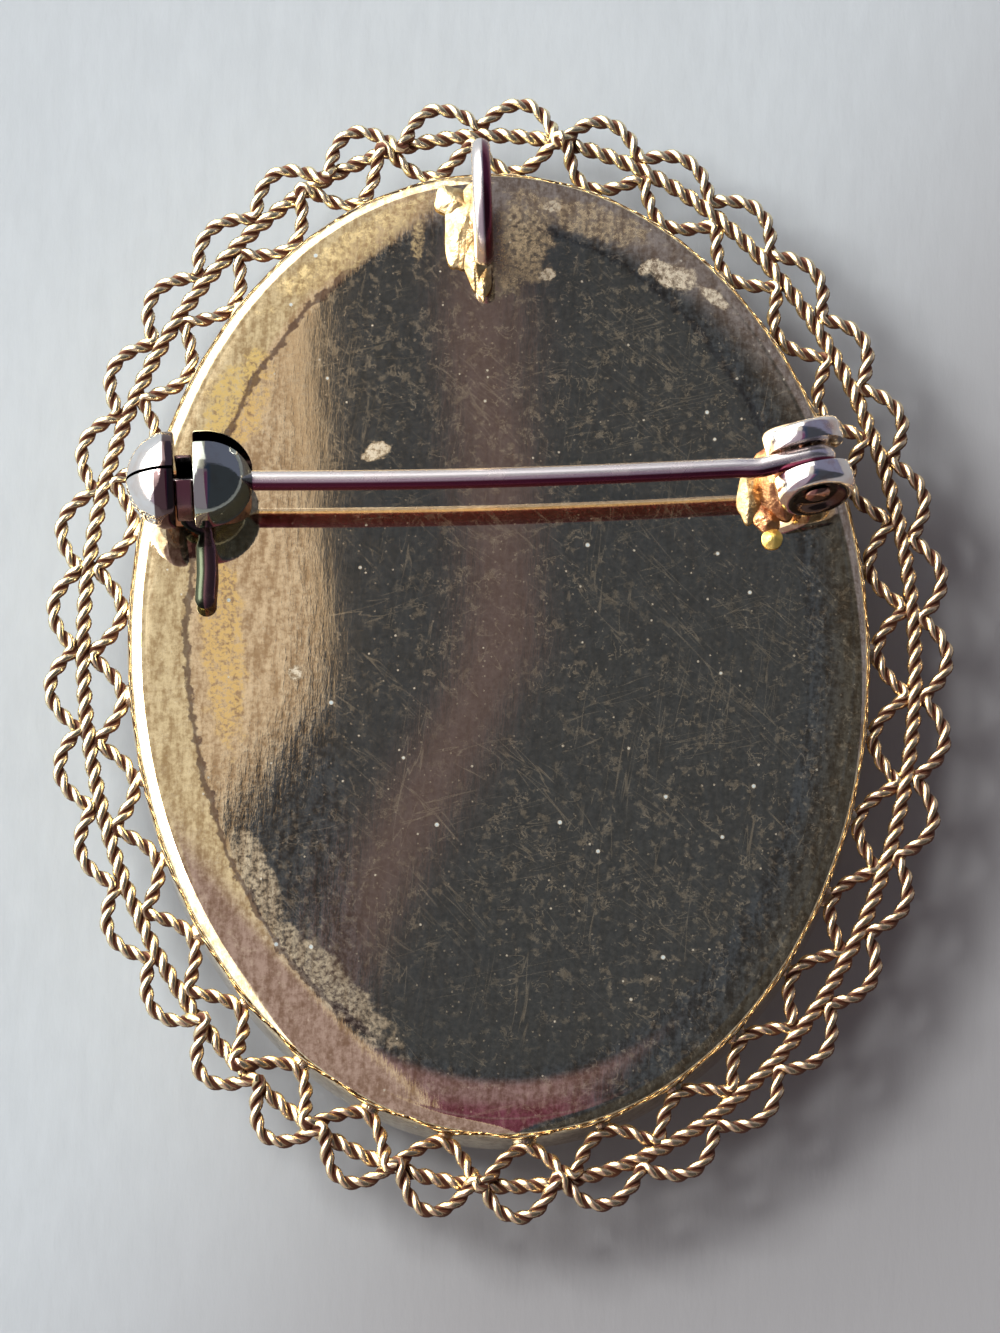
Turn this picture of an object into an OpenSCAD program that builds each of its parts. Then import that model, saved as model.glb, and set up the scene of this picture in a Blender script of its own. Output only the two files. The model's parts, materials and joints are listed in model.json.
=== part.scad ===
// An oval cameo brooch with a wirework border, lying face down with its back up.
// The origin is on the surface it lies on, under the middle of the oval. +Z is up
// through the back plate, +Y runs to the bail and +X to the pin's hinge.

/* [Cameo] */
// Width of the cameo
cameo_w = 30; // [24:0.5:36]
// Height of the cameo
cameo_h = 40.6; // [34:0.5:48]
// Height of the straight edge of the cameo
girdle_h = 2.5; // [1.8:0.1:3.5]
// Rise of the domed ground over the edge
dome_rise = 2.2; // [1.5:0.1:3]
// Height of the carved relief over the ground
relief_h = 1.2; // [0.8:0.1:1.6]
// Width of the edge that the lip covers
shoulder_w = 0.85; // [0.6:0.05:1.2]

/* [Setting] */
// Gap between the cameo and the cup round it
cameo_gap = 0.05; // [0.03:0.01:0.1]
// Thickness of the cup's side wall
wall_t = 0.35; // [0.3:0.05:0.6]
// Thickness of the back plate
plate_t = 0.4; // [0.35:0.05:0.6]
// Radius of the plate's rounded edge
edge_r = 0.7; // [0.5:0.05:0.9]
// Thickness of the lip turned over the cameo
lip_t = 0.3; // [0.2:0.05:0.5]

/* [Border] */
// Distance of the border's ring outside the cup
ring_out = 1.87; // [1.6:0.05:2.4]
// Depth of the ring's middle below the plate's back
ring_drop = 1.5; // [1.2:0.1:1.8]
// Thickness of the ring's twisted wire
ring_wire = 0.55; // [0.45:0.01:0.6]
// Thickness of the zigzag wires
zigzag_wire = 0.48; // [0.4:0.01:0.5]
// Height of the outer scallops over the ring
scallop_out = 1.43; // [1.1:0.05:1.8]
// Distance of the scallops' feet outside the ring
scallop_foot = 0.4; // [0.34:0.01:0.46]
// Distance of the inner points' tops inside the ring
point_top = 0.36; // [0.3:0.01:0.44]
// Number of outer scallops
scallops = 37; // [30:1:42]
// Number of inner points
points = 33; // [28:1:38]
// Part of a step that the first inner point lies past the top
points_start = 0.4; // [0:0.05:0.95]

/* [Pin] */
// Thickness of the pin's wire
pin_wire = 0.83; // [0.7:0.01:0.9]
// Length of the ground point
tip_l = 3.2; // [2.5:0.1:4]
// Distance of the hinge inside the cup's side
hinge_inset = 2.3; // [2.2:0.05:3]
// Height of the pin's line above the middle of the oval
pin_y = 6.8; // [5:0.1:8]
// Height of the rivet above the plate
rivet_z = 1.95; // [1.8:0.05:2.2]
// Turn of the hinge in its solder
hinge_turn = 12; // [0:1:15]
// Distance of the hinge above the pin's line
hinge_lift = 0.05; // [0:0.05:0.4]

/* [Hinge] */
// Radius of the hinge's cheeks
cheek_r = 1.65; // [1.5:0.05:1.75]
// Thickness of each cheek
cheek_t = 1.2; // [1:0.05:1.3]
// Radius of the pin's eye
eye_r = 1.15; // [1.05:0.05:1.25]
// Gap on each side of the pin's eye
eye_gap = 0.08; // [0.06:0.01:0.12]
// Radius of the rivet's shaft
rivet_r = 0.3; // [0.26:0.01:0.36]
// Radius of the rivet's heads
rivet_head_r = 0.68; // [0.6:0.02:0.8]

/* [Safety catch] */
// Distance of the catch's slot inside the cup's side
catch_inset = 2.55; // [2.5:0.01:3.2]
// Radius of the catch's cheeks
catch_r = 2.02; // [1.9:0.02:2.1]
// Length of the outer cheek
outer_cheek_l = 1.75; // [1.6:0.05:2]
// Length of the inner cheek
inner_cheek_l = 2.5; // [2.2:0.05:2.7]
// Width of the slot between the cheeks
catch_slot = 1.07; // [1:0.01:1.2]
// Radius of the lever's hub
hub_r = 1.72; // [1.6:0.02:1.8]
// Reach of the thumb tab from the catch's middle
tab_reach = 3.5; // [3:0.05:3.6]
// Angle of the thumb tab below level
tab_angle = 44; // [38:1:50]

/* [Bail] */
// Inner radius of the bail ring
bail_bore_r = 1.85; // [1.6:0.05:2]
// Thickness of the bail ring's wire
bail_wire = 0.8; // [0.7:0.05:0.9]
// Distance of the bail's middle inside the cup's top
bail_inset = 2.3; // [1.5:0.1:2.8]

/* [Hidden] */
$fn = 64;

// Heights above the surface that the brooch lies on
girdle_z = relief_h + dome_rise;
lip_z = girdle_z - cameo_gap - lip_t;
plate_under = girdle_z + girdle_h + cameo_gap;
plate_z = plate_under + plate_t;
ring_z = plate_z - ring_drop;

// Half width and half height of the cameo and of the cup
cameo_a = cameo_w / 2;
cameo_b = cameo_h / 2;
cup_a = cameo_a + cameo_gap + wall_t;
cup_b = cameo_b + cameo_gap + wall_t;

// Places of the findings, measured from the middle of the oval
hinge_x = cup_a - hinge_inset;
catch_x = cup_a - catch_inset;
bail_y = cup_b - bail_inset;

// The outline is an oval of four arcs that lie within 0.12 mm of an ellipse. The end
// arcs are a little rounder than the ellipse's own ends, which spreads the difference.
end_r = 1.095 * cup_a * cup_a / cup_b;
side_r = ((cup_b - end_r) ^ 2 + cup_a ^ 2 - end_r ^ 2) / (2 * (cup_a - end_r));
end_middle = cup_b - end_r;
side_middle = cup_a - side_r;
side_turn = atan2(end_middle, -side_middle);
end_turn = 90 - side_turn;

// Places along the ring, clockwise from the top, with the outline's direction there
ring_end_l = (end_r + ring_out) * end_turn * PI / 180;
ring_side_l = (side_r + ring_out) * side_turn * PI / 180;
ring_l = 4 * (ring_end_l + ring_side_l);
ring_headings = [
    [0, 0],
    [ring_end_l, end_turn],
    [ring_end_l + 2 * ring_side_l, 180 - end_turn],
    [3 * ring_end_l + 2 * ring_side_l, 180 + end_turn],
    [3 * ring_end_l + 4 * ring_side_l, 360 - end_turn],
    [ring_l, 360],
];
function heading(share) = lookup((share - floor(share)) * ring_l, ring_headings);
function is_end(t) = abs(cos(t)) > cos(end_turn);
function outline(t, out) = is_end(t)
    ? [(end_r + out) * sin(t), (end_r + out) * cos(t) + end_middle * sign(cos(t))]
    : [(side_r + out) * sin(t) + side_middle * sign(sin(t)), (side_r + out) * cos(t)];

// The pin leaves the top of its eye, so it lies over the rivet
pin_r = pin_wire / 2;
loop_r = eye_r - pin_r;
pin_z = plate_z + rivet_z + loop_r;
eye_slot = pin_wire + 2 * eye_gap;
hinge_y = pin_y + hinge_lift;

// Running clearances
turn_gap = 0.06;
fit_gap = 0.03;
throat_w = pin_wire + 0.23;

// End of the pin's ground point, the swelling of its wire where it was bent, and the
// distance of that bend from the hinge's cheeks
tip_end_r = 0.05;
bend_swell = 0.02;
knee_gap = 0.2;

// Soldered feet: how high they stand and how deep they are let into the plate
foot_h = 0.5;
weld = 0.1;
bail_sink = 0.15;
catch_foot_w = 2.2;
catch_neck_w = 1.6;
hinge_foot_l = 1.15;

// Width of the cup's front that the turned lip covers
lip_reach = wall_t + cameo_gap + shoulder_w;

// Sleeves that the catch's lever turns on, and the slit for the pin's point
sleeve_r = 0.95;
sleeve_l = 0.5;
slit_w = 0.4;

// Straight length of each cheek before its dome
outer_barrel_l = 0.5;
inner_barrel_l = 0.6;

// Thickness, width and sideways lean of the thumb tab
tab_t = 0.45;
tab_w = 0.84;
tab_lean = 0.95;

// Rounding and dish of the hinge's cheeks
cheek_round_r = 0.4;
dish_depth = 0.22;
rivet_head_h = 0.3;

// How finely the wires and the carving are divided
ring_steps = 80;
zigzag_steps = 6;
carve_sides = 72;
carve_rings = 40;

// The flat oval that lies inside the cup's outline by a distance
module oval(inset) {
    join_y = end_middle + (end_r - inset) * cos(end_turn);
    for (s = [-1, 1])
        translate([0, s * end_middle]) circle(end_r - inset);
    intersection() {
        translate([side_middle, 0]) circle(side_r - inset);
        translate([-side_middle, 0]) circle(side_r - inset);
        square([3 * cup_a, 2 * join_y], center = true);
    }
}

// Carries a profile round the outline. Its x is the distance outside the outline.
module round_outline() {
    for (s = [0, 1]) {
        rotate([0, 0, 180 * s]) {
            translate([0, end_middle, 0]) rotate([0, 0, side_turn])
                rotate_extrude(angle = 2 * end_turn) translate([end_r, 0]) children();
            translate([side_middle, 0, 0]) rotate([0, 0, -side_turn])
                rotate_extrude(angle = 2 * side_turn) translate([side_r, 0]) children();
        }
    }
}

// Section of the cup's side, from the lip over the cameo to the rounded back edge
module side_section() {
    polygon([
        [0, lip_z],
        for (a = [0:15:90]) [edge_r * (cos(a) - 1), plate_z + edge_r * (sin(a) - 1)],
        [-lip_reach, plate_z],
        [-lip_reach, plate_under],
        [-wall_t, plate_under],
        [-wall_t, lip_z + lip_t],
        [-lip_reach, lip_z + lip_t],
        [-lip_reach, lip_z],
    ]);
}

module cup() {
    translate([0, 0, plate_under]) linear_extrude(plate_t) oval((edge_r + lip_reach) / 2);
    round_outline() side_section();
}

// A low round heap of solder on the plate
module solder_heap(x, y, r, h) {
    ball_r = (r * r + h * h) / (2 * h);
    intersection() {
        translate([x, y, plate_z + h - ball_r]) sphere(ball_r);
        translate([x - r, y - r, plate_z - weld]) cube([2 * r, 2 * r, h + 2 * weld]);
    }
}

// One cheek of the catch, lying along +X from its flat face to its domed end
module catch_cheek(l, cap) {
    ball_r = (catch_r * catch_r + cap * cap) / (2 * cap);
    rotate([0, 90, 0]) {
        cylinder(r = catch_r, h = l - cap);
        intersection() {
            translate([0, 0, l - ball_r]) sphere(ball_r);
            translate([0, 0, l - cap]) cylinder(r = catch_r + 1, h = cap + 1);
        }
    }
}

// Moves to the middle of the catch, on the pin's line
module at_catch() {
    translate([-catch_x, pin_y, pin_z]) children();
}

// A slot along X, a little wider at the pin and open upwards
module throat(from, l) {
    translate([from, 0, 0]) rotate([0, 90, 0]) cylinder(r = throat_w / 2 + fit_gap, h = l);
    translate([from, -throat_w / 2, 0]) cube([l, throat_w, 2 * catch_r]);
}

// A seat in a cheek's flat face for a sleeve of the lever to turn in
module sleeve_seat() {
    translate([-1, 0, 0]) rotate([0, 90, 0]) cylinder(r = sleeve_r + turn_gap, h = sleeve_l + turn_gap + 1);
}

module catch_housing() {
    neck_h = pin_z - plate_z - catch_r / 2;
    half = catch_slot / 2;
    at_catch() {
        translate([half, 0, 0]) difference() {
            catch_cheek(inner_cheek_l, inner_cheek_l - inner_barrel_l);
            throat(-1, inner_cheek_l + 2);
            sleeve_seat();
        }
        mirror([1, 0, 0]) translate([half, 0, 0]) difference() {
            catch_cheek(outer_cheek_l, outer_cheek_l - outer_barrel_l);
            sleeve_seat();
            // Narrow slit for the pin's point
            translate([-1, -slit_w / 2, -slit_w / 2]) cube([outer_cheek_l + 2, slit_w, 2 * catch_r]);
        }
        // Necks and foot, soldered to the plate
        translate([0, 0, plate_z - pin_z - weld]) {
            translate([half, -catch_neck_w / 2, 0])
                cube([inner_cheek_l - inner_barrel_l, catch_neck_w, neck_h]);
            translate([-half - outer_barrel_l, -catch_neck_w / 2, 0])
                cube([outer_barrel_l, catch_neck_w, neck_h]);
            translate([-half - 0.8 * outer_barrel_l, -catch_foot_w / 2, 0])
                cube([catch_slot + inner_cheek_l, catch_foot_w, foot_h + weld]);
        }
    }
}

// One round cheek of the hinge, its flat face at the origin and its dished face out
module hinge_cheek() {
    difference() {
        rotate_extrude() {
            square([cheek_r, cheek_t - cheek_round_r]);
            square([cheek_r - cheek_round_r, cheek_t]);
            translate([cheek_r - cheek_round_r, cheek_t - cheek_round_r]) circle(cheek_round_r);
        }
        translate([0, 0, cheek_t - dish_depth]) cylinder(r = rivet_head_r + 0.4, h = 1);
        translate([0, 0, -1]) cylinder(r = rivet_r + fit_gap, h = cheek_t + 2);
    }
}

// Turns a piece's own +Z to lie level along the rivet, and its +X towards the catch
module at_rivet() {
    translate([hinge_x, hinge_y, plate_z + rivet_z]) rotate([0, 0, hinge_turn]) rotate([90, 0, 180]) children();
}

module hinge_cheeks() {
    stack = eye_slot + 2 * cheek_t;
    at_rivet() {
        translate([0, 0, eye_slot / 2]) hinge_cheek();
        mirror([0, 0, 1]) translate([0, 0, eye_slot / 2]) hinge_cheek();
    }
    translate([hinge_x, hinge_y, plate_z - weld]) rotate([0, 0, hinge_turn])
        translate([-hinge_foot_l, -stack / 2 + 0.1, 0]) cube([1.5 * hinge_foot_l, stack - 0.2, foot_h + weld]);
}

module bail_ring() {
    half = bail_wire / 2;
    translate([0, bail_y, plate_z + bail_bore_r + bail_wire - bail_sink]) rotate([0, 90, 0]) rotate_extrude() {
        translate([bail_bore_r, -half]) square([half, bail_wire]);
        translate([bail_bore_r + half, 0]) circle(half);
    }
}

module setting() {
    color("goldenrod") {
        cup();
        // Solder run out at the bail and at the hinge
        solder_heap(-1, bail_y - 1.9, 1.2, 0.35);
        solder_heap(1.3, bail_y - 1.5, 1.5, 0.3);
        solder_heap(hinge_x - 1.8, hinge_y - 0.4, 1, 0.3);
    }
    color("silver") {
        catch_housing();
        hinge_cheeks();
        bail_ring();
    }
}

function unit(v) = v / norm(v);

// A wire as a closed tube round its route
module closed_wire(route, sides, r) {
    n = len(route);
    ahead = [for (i = [0:n - 1]) unit(route[(i + 1) % n] - route[(i + n - 1) % n])];
    vertices = [for (i = [0:n - 1], k = [0:sides - 1])
        let (side = cross(ahead[i], [0, 0, 1]), turn = 360 * k / sides)
        route[i] + r * (cos(turn) * side + sin(turn) * [0, 0, 1])];
    faces = [for (i = [0:n - 1], k = [0:sides - 1])
        let (j = (i + 1) % n, m = (k + 1) % sides) [i * sides + k, i * sides + m, j * sides + m, j * sides + k]];
    polyhedron(vertices, faces);
}

function on_ring(share, out) = concat(outline(heading(share), out), ring_z);

// A zigzag between two distances from the cup, its feet at low and its crowns at high.
// The crowns are a little broader than the feet. The first foot is a part of a step past the top.
function crown(phase) = let (c = (1 - cos(360 * phase)) / 2) c * (1.3 - 0.3 * c);
function zigzag(count, low, high, start) = [for (i = [0:count * zigzag_steps - 1])
    on_ring((i / zigzag_steps + start) / count, low + (high - low) * crown(i / zigzag_steps))];

// A dab of solder, widest against the cup's wall, with the wire let into it
module solder_dab(share) {
    t = heading(share);
    p = outline(t, fit_gap);
    translate([p[0], p[1], ring_z]) rotate([0, 0, -t]) hull() {
        translate([-0.45, 0, -0.15]) cube([0.9, 0.05, 0.3]);
        translate([-0.2, 0.2, -0.2]) cube([0.4, 0.15, 0.4]);
    }
}

module filigree_border() {
    inner_foot = zigzag_wire / 2 + fit_gap + 0.02;
    color("gold") {
        closed_wire([for (i = [0:ring_steps - 1]) on_ring(i / ring_steps, ring_out)], 8, ring_wire / 2);
        closed_wire(zigzag(scallops, ring_out + scallop_foot, ring_out + scallop_out, 0), 5, zigzag_wire / 2);
        closed_wire(zigzag(points, inner_foot, ring_out - point_top, points_start), 5, zigzag_wire / 2);
        for (i = [0:points - 1]) solder_dab((i + points_start) / points);
    }
}

// Outlines of the bust in profile, as places to the viewer's right and up, in shares of
// the cameo's half width. First the head, neck and shoulders, from the hairline down.
head_form = [
    [0.27, 0.72], [0.33, 0.62], [0.345, 0.52], [0.325, 0.455],
    [0.365, 0.37], [0.415, 0.29], [0.395, 0.245], [0.345, 0.225],
    [0.37, 0.18], [0.338, 0.15], [0.36, 0.115], [0.32, 0.075],
    [0.342, 0.01], [0.3, -0.05], [0.19, -0.07], [0.115, -0.13],
    [0.1, -0.32], [0.2, -0.46], [0.42, -0.58], [0.54, -0.74],
    [0.38, -0.96], [0, -1.06], [-0.38, -0.98], [-0.62, -0.74],
    [-0.46, -0.52], [-0.27, -0.38], [-0.21, -0.15], [-0.3, 0.1],
    [-0.3, 0.6], [0, 0.8],
];
// The gathered hair, from the forehead down to the nape and over the crown
hair_form = [
    [0.27, 0.74], [0.3, 0.64], [0.2, 0.56], [0.1, 0.44], [0.06, 0.28],
    [0.02, 0.12], [-0.1, 0.02], [-0.24, -0.06], [-0.38, 0.02], [-0.54, 0.16],
    [-0.6, 0.34], [-0.52, 0.5], [-0.44, 0.6], [-0.38, 0.76], [-0.22, 0.9],
    [-0.02, 0.96], [0.16, 0.9],
];
// The drapery round the shoulders
drape_form = [
    [0.16, -0.46], [0.36, -0.54], [0.54, -0.7], [0.52, -0.86], [0.3, -1.02],
    [0, -1.1], [-0.38, -1.02], [-0.64, -0.8], [-0.56, -0.58], [-0.4, -0.48],
    [-0.1, -0.66],
];
// Each form's height as a share of relief_h, and the width of its rounded edge
head_h = 1.15;
head_round = 0.14;
hair_h = 1.6;
hair_round = 0.22;
drape_h = 1.9;
drape_round = 0.18;

// How far a point lies inside a form, from its distance to the form's sides and from
// the number of sides that a line from it to the right crosses
function side_distance(p, a, b) =
    let (d = b - a, t = max(0, min(1, (p - a) * d / (d * d)))) norm(p - a - t * d);
function is_crossed(p, a, b) = ((a[1] > p[1]) != (b[1] > p[1]))
    && p[0] < (b[0] - a[0]) * (p[1] - a[1]) / (b[1] - a[1]) + a[0];
function depth_in(p, form) =
    let (n = len(form),
        crossed = len([for (i = [0:n - 1]) if (is_crossed(p, form[i], form[(i + 1) % n])) i]))
    crossed % 2 == 0 ? 0 : min([for (i = [0:n - 1]) side_distance(p, form[i], form[(i + 1) % n])]);

// A form's height, rounded off towards its outline
function raised(p, form, h, round_w) =
    let (t = min(1, depth_in(p, form) / round_w)) h * sqrt(1 - (1 - t) * (1 - t));
function relief(right, up) = let (p = [right, up] / cameo_a) relief_h * max(
    raised(p, head_form, head_h, head_round),
    raised(p, hair_form, hair_h, hair_round),
    raised(p, drape_form, drape_h, drape_round));

// The carved face: a domed ground with the bust on it, its tops cut level
function carved_z(p, share) = max(0, girdle_z - dome_rise * (1 - share * share) - relief(-p[0], p[1]));

module cameo() {
    edge_inset = wall_t + cameo_gap;
    face_inset = lip_reach + cameo_gap;
    turns = [for (k = [0:carve_sides - 1]) 360 * k / carve_sides];
    rings = [
        [for (t = turns) concat(outline(t, -edge_inset), girdle_z + girdle_h)],
        [for (t = turns) concat(outline(t, -edge_inset), girdle_z)],
        for (i = [carve_rings:-1:1])
            [for (t = turns) let (share = i / carve_rings, p = share * outline(t, -face_inset))
                concat(p, carved_z(p, share))],
    ];
    vertices = [for (r = rings, v = r) v, [0, 0, carved_z([0, 0], 0)], [0, 0, girdle_z + girdle_h]];
    last = len(rings) - 1;
    crest = len(rings) * carve_sides;
    faces = [
        for (i = [0:last - 1], k = [0:carve_sides - 1]) let (m = (k + 1) % carve_sides)
            [i * carve_sides + k, (i + 1) * carve_sides + k, (i + 1) * carve_sides + m, i * carve_sides + m],
        for (k = [0:carve_sides - 1]) [last * carve_sides + k, crest, last * carve_sides + (k + 1) % carve_sides],
        for (k = [0:carve_sides - 1]) [(k + 1) % carve_sides, crest + 1, k],
    ];
    color("sienna") polyhedron(vertices, faces);
}

// A round wire lying level from one point to another, on the pin's line
module wire(from, to, r) {
    d = to - from;
    translate([from[0], from[1], pin_z]) rotate([0, 90, atan2(d[1], d[0])]) cylinder(r = r, h = norm(d));
}

// The pin's wire from one point to another, ground to a sharp end
module ground_wire(from, to) {
    d = to - from;
    l = norm(d);
    translate([from[0], from[1], pin_z]) rotate([0, 90, atan2(d[1], d[0])])
        rotate_extrude() polygon([[0, 0], [pin_r, 0], [pin_r, l - tip_l], [tip_end_r, l], [0, l]]);
}

// The room that the rivet takes in the pin's eye
module rivet_bore() {
    at_rivet() translate([0, 0, -pin_wire]) cylinder(r = rivet_r + turn_gap, h = 2 * pin_wire);
}

module pin_stem() {
    // The wire runs over the rivet, out of the hinge and straight to the catch
    along = [cos(hinge_turn), sin(hinge_turn)];
    start = [hinge_x, hinge_y];
    knee = start - (cheek_r + knee_gap) * along;
    color("silver") {
        // A little swollen where it was bent
        difference() {
            wire(start + 0.25 * along, knee - 0.2 * along, pin_r + bend_swell);
            rivet_bore();
        }
        ground_wire(knee, [-catch_x - catch_slot / 2 - 0.4, pin_y]);
        // The eye is the wire bent three quarters of the way round the rivet
        difference() {
            at_rivet() rotate([0, 0, 90]) rotate_extrude(angle = 270) translate([loop_r, 0]) circle(pin_r);
            rivet_bore();
        }
    }
}

// A rivet with a domed head sunk into the dish of each cheek
module hinge_rivet() {
    seat = eye_slot / 2 + cheek_t - dish_depth + fit_gap;
    ball_r = (rivet_head_r ^ 2 + rivet_head_h ^ 2) / (2 * rivet_head_h);
    color("silver") at_rivet() {
        translate([0, 0, -seat]) cylinder(r = rivet_r, h = 2 * seat);
        for (s = [0, 1]) mirror([0, 0, s]) intersection() {
            translate([0, 0, seat + rivet_head_h - ball_r]) sphere(ball_r);
            translate([0, 0, seat]) cylinder(r = rivet_head_r + 0.1, h = 2 * rivet_head_h);
        }
    }
}

module catch_lever() {
    hub_w = catch_slot - 2 * turn_gap;
    sleeves_l = hub_w + 2 * sleeve_l;
    color("silver") at_catch() {
        difference() {
            union() {
                // A lobe towards the thumb tab, and the sleeves through it
                difference() {
                    rotate([0, 90, 0]) cylinder(r = hub_r, h = hub_w, center = true);
                    translate([-hub_w, 0, -2 * hub_r]) cube([2 * hub_w, 2 * hub_r, 4 * hub_r]);
                }
                rotate([0, 90, 0]) cylinder(r = sleeve_r, h = sleeves_l, center = true);
            }
            throat(-catch_slot, 2 * catch_slot);
        }
        // The thumb tab leaves the slot and leans over the inner cheek
        rotate([tab_angle, 0, 0]) translate([0, 0, -tab_t / 2]) linear_extrude(tab_t) {
            translate([-tab_w / 2, -catch_r - 0.5]) square([tab_w, catch_r + 0.5 - hub_r + 0.5]);
            hull() {
                translate([0, -catch_r - 0.6]) circle(tab_w / 2);
                translate([tab_lean, -tab_reach + tab_w / 2]) circle(tab_w / 2);
            }
        }
    }
}

setting();
filigree_border();
cameo();
pin_stem();
hinge_rivet();
catch_lever();
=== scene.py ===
"""Looks of an oval cameo brooch with a wirework border, lying face down with its back up.

Each sub-assembly is a class that holds its sizes in millimetres. Its methods work out
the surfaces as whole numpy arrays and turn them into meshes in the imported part's frame,
in metres. Headings run clockwise from the bail, seen from the back.
"""

import json
import logging
import math
from dataclasses import dataclass, field
from enum import Enum
from typing import Sequence, Union

import bpy
import numpy as np
from mathutils import Matrix, Vector


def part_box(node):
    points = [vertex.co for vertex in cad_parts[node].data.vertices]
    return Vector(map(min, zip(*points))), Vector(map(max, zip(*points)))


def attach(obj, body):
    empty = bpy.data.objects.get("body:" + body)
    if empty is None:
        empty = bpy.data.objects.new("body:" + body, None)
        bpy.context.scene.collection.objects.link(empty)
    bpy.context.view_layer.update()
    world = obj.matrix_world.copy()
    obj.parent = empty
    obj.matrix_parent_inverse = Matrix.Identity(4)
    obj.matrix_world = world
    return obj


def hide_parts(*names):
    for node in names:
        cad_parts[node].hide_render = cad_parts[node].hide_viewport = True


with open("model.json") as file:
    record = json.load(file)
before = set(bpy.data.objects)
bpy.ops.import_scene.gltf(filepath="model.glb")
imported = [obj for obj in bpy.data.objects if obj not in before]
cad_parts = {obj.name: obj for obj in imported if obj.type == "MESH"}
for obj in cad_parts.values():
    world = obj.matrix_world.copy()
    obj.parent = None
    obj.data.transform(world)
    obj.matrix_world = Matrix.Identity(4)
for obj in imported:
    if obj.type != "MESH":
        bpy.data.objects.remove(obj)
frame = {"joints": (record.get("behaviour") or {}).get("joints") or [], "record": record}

LOG = logging.getLogger("brooch")
MM = 0.001
TAU = 2 * math.pi
UP = np.array([0.0, 0.0, 1.0])
# From the stone's flat back to the top of the plate, in millimetres
PLATE_OVER_STONE = 0.45

Socket = bpy.types.NodeSocket
Number = Union[float, Socket]
Tint = Union[tuple, Socket]


class Body(Enum):
    """The three bodies that move against each other."""

    BROOCH = "brooch"
    PIN = "pin"
    LEVER = "lever"


class Strand(Enum):
    """Which way the two strands of a twisted wire turn about each other."""

    LEFT_HANDED = -1
    RIGHT_HANDED = 1


# Surfaces


def unit(vectors: np.ndarray) -> np.ndarray:
    """Divides each vector by its own length."""
    return vectors / np.linalg.norm(vectors, axis=-1, keepdims=True)


def smooth(x: np.ndarray, low: float, high: float) -> np.ndarray:
    """Rises from 0 at low to 1 at high along the curve 3t^2 - 2t^3.

    Args:
        x: Where the curve is read.
        low: The value at which it starts to rise.
        high: The value at which it ends, which may lie below low.

    Returns:
        The height of the curve at each x.
    """
    t = np.clip((x - low) / (high - low), 0, 1)
    return t * t * (3 - 2 * t)


def signed_volume(faces: np.ndarray, points: np.ndarray) -> float:
    """Six times the volume under some faces, the sum of a . (b x c) over their triangles.

    Args:
        faces: The faces' corners, as point indices.
        points: The points.

    Returns:
        The sum, which is negative where the faces look inwards.
    """
    first = points[faces[:, 0]]
    volume = 0.0
    for k in range(1, faces.shape[1] - 1):
        normal = np.cross(points[faces[:, k]], points[faces[:, k + 1]])
        volume += np.einsum("ij,ij->", first, normal)
    return volume


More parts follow.
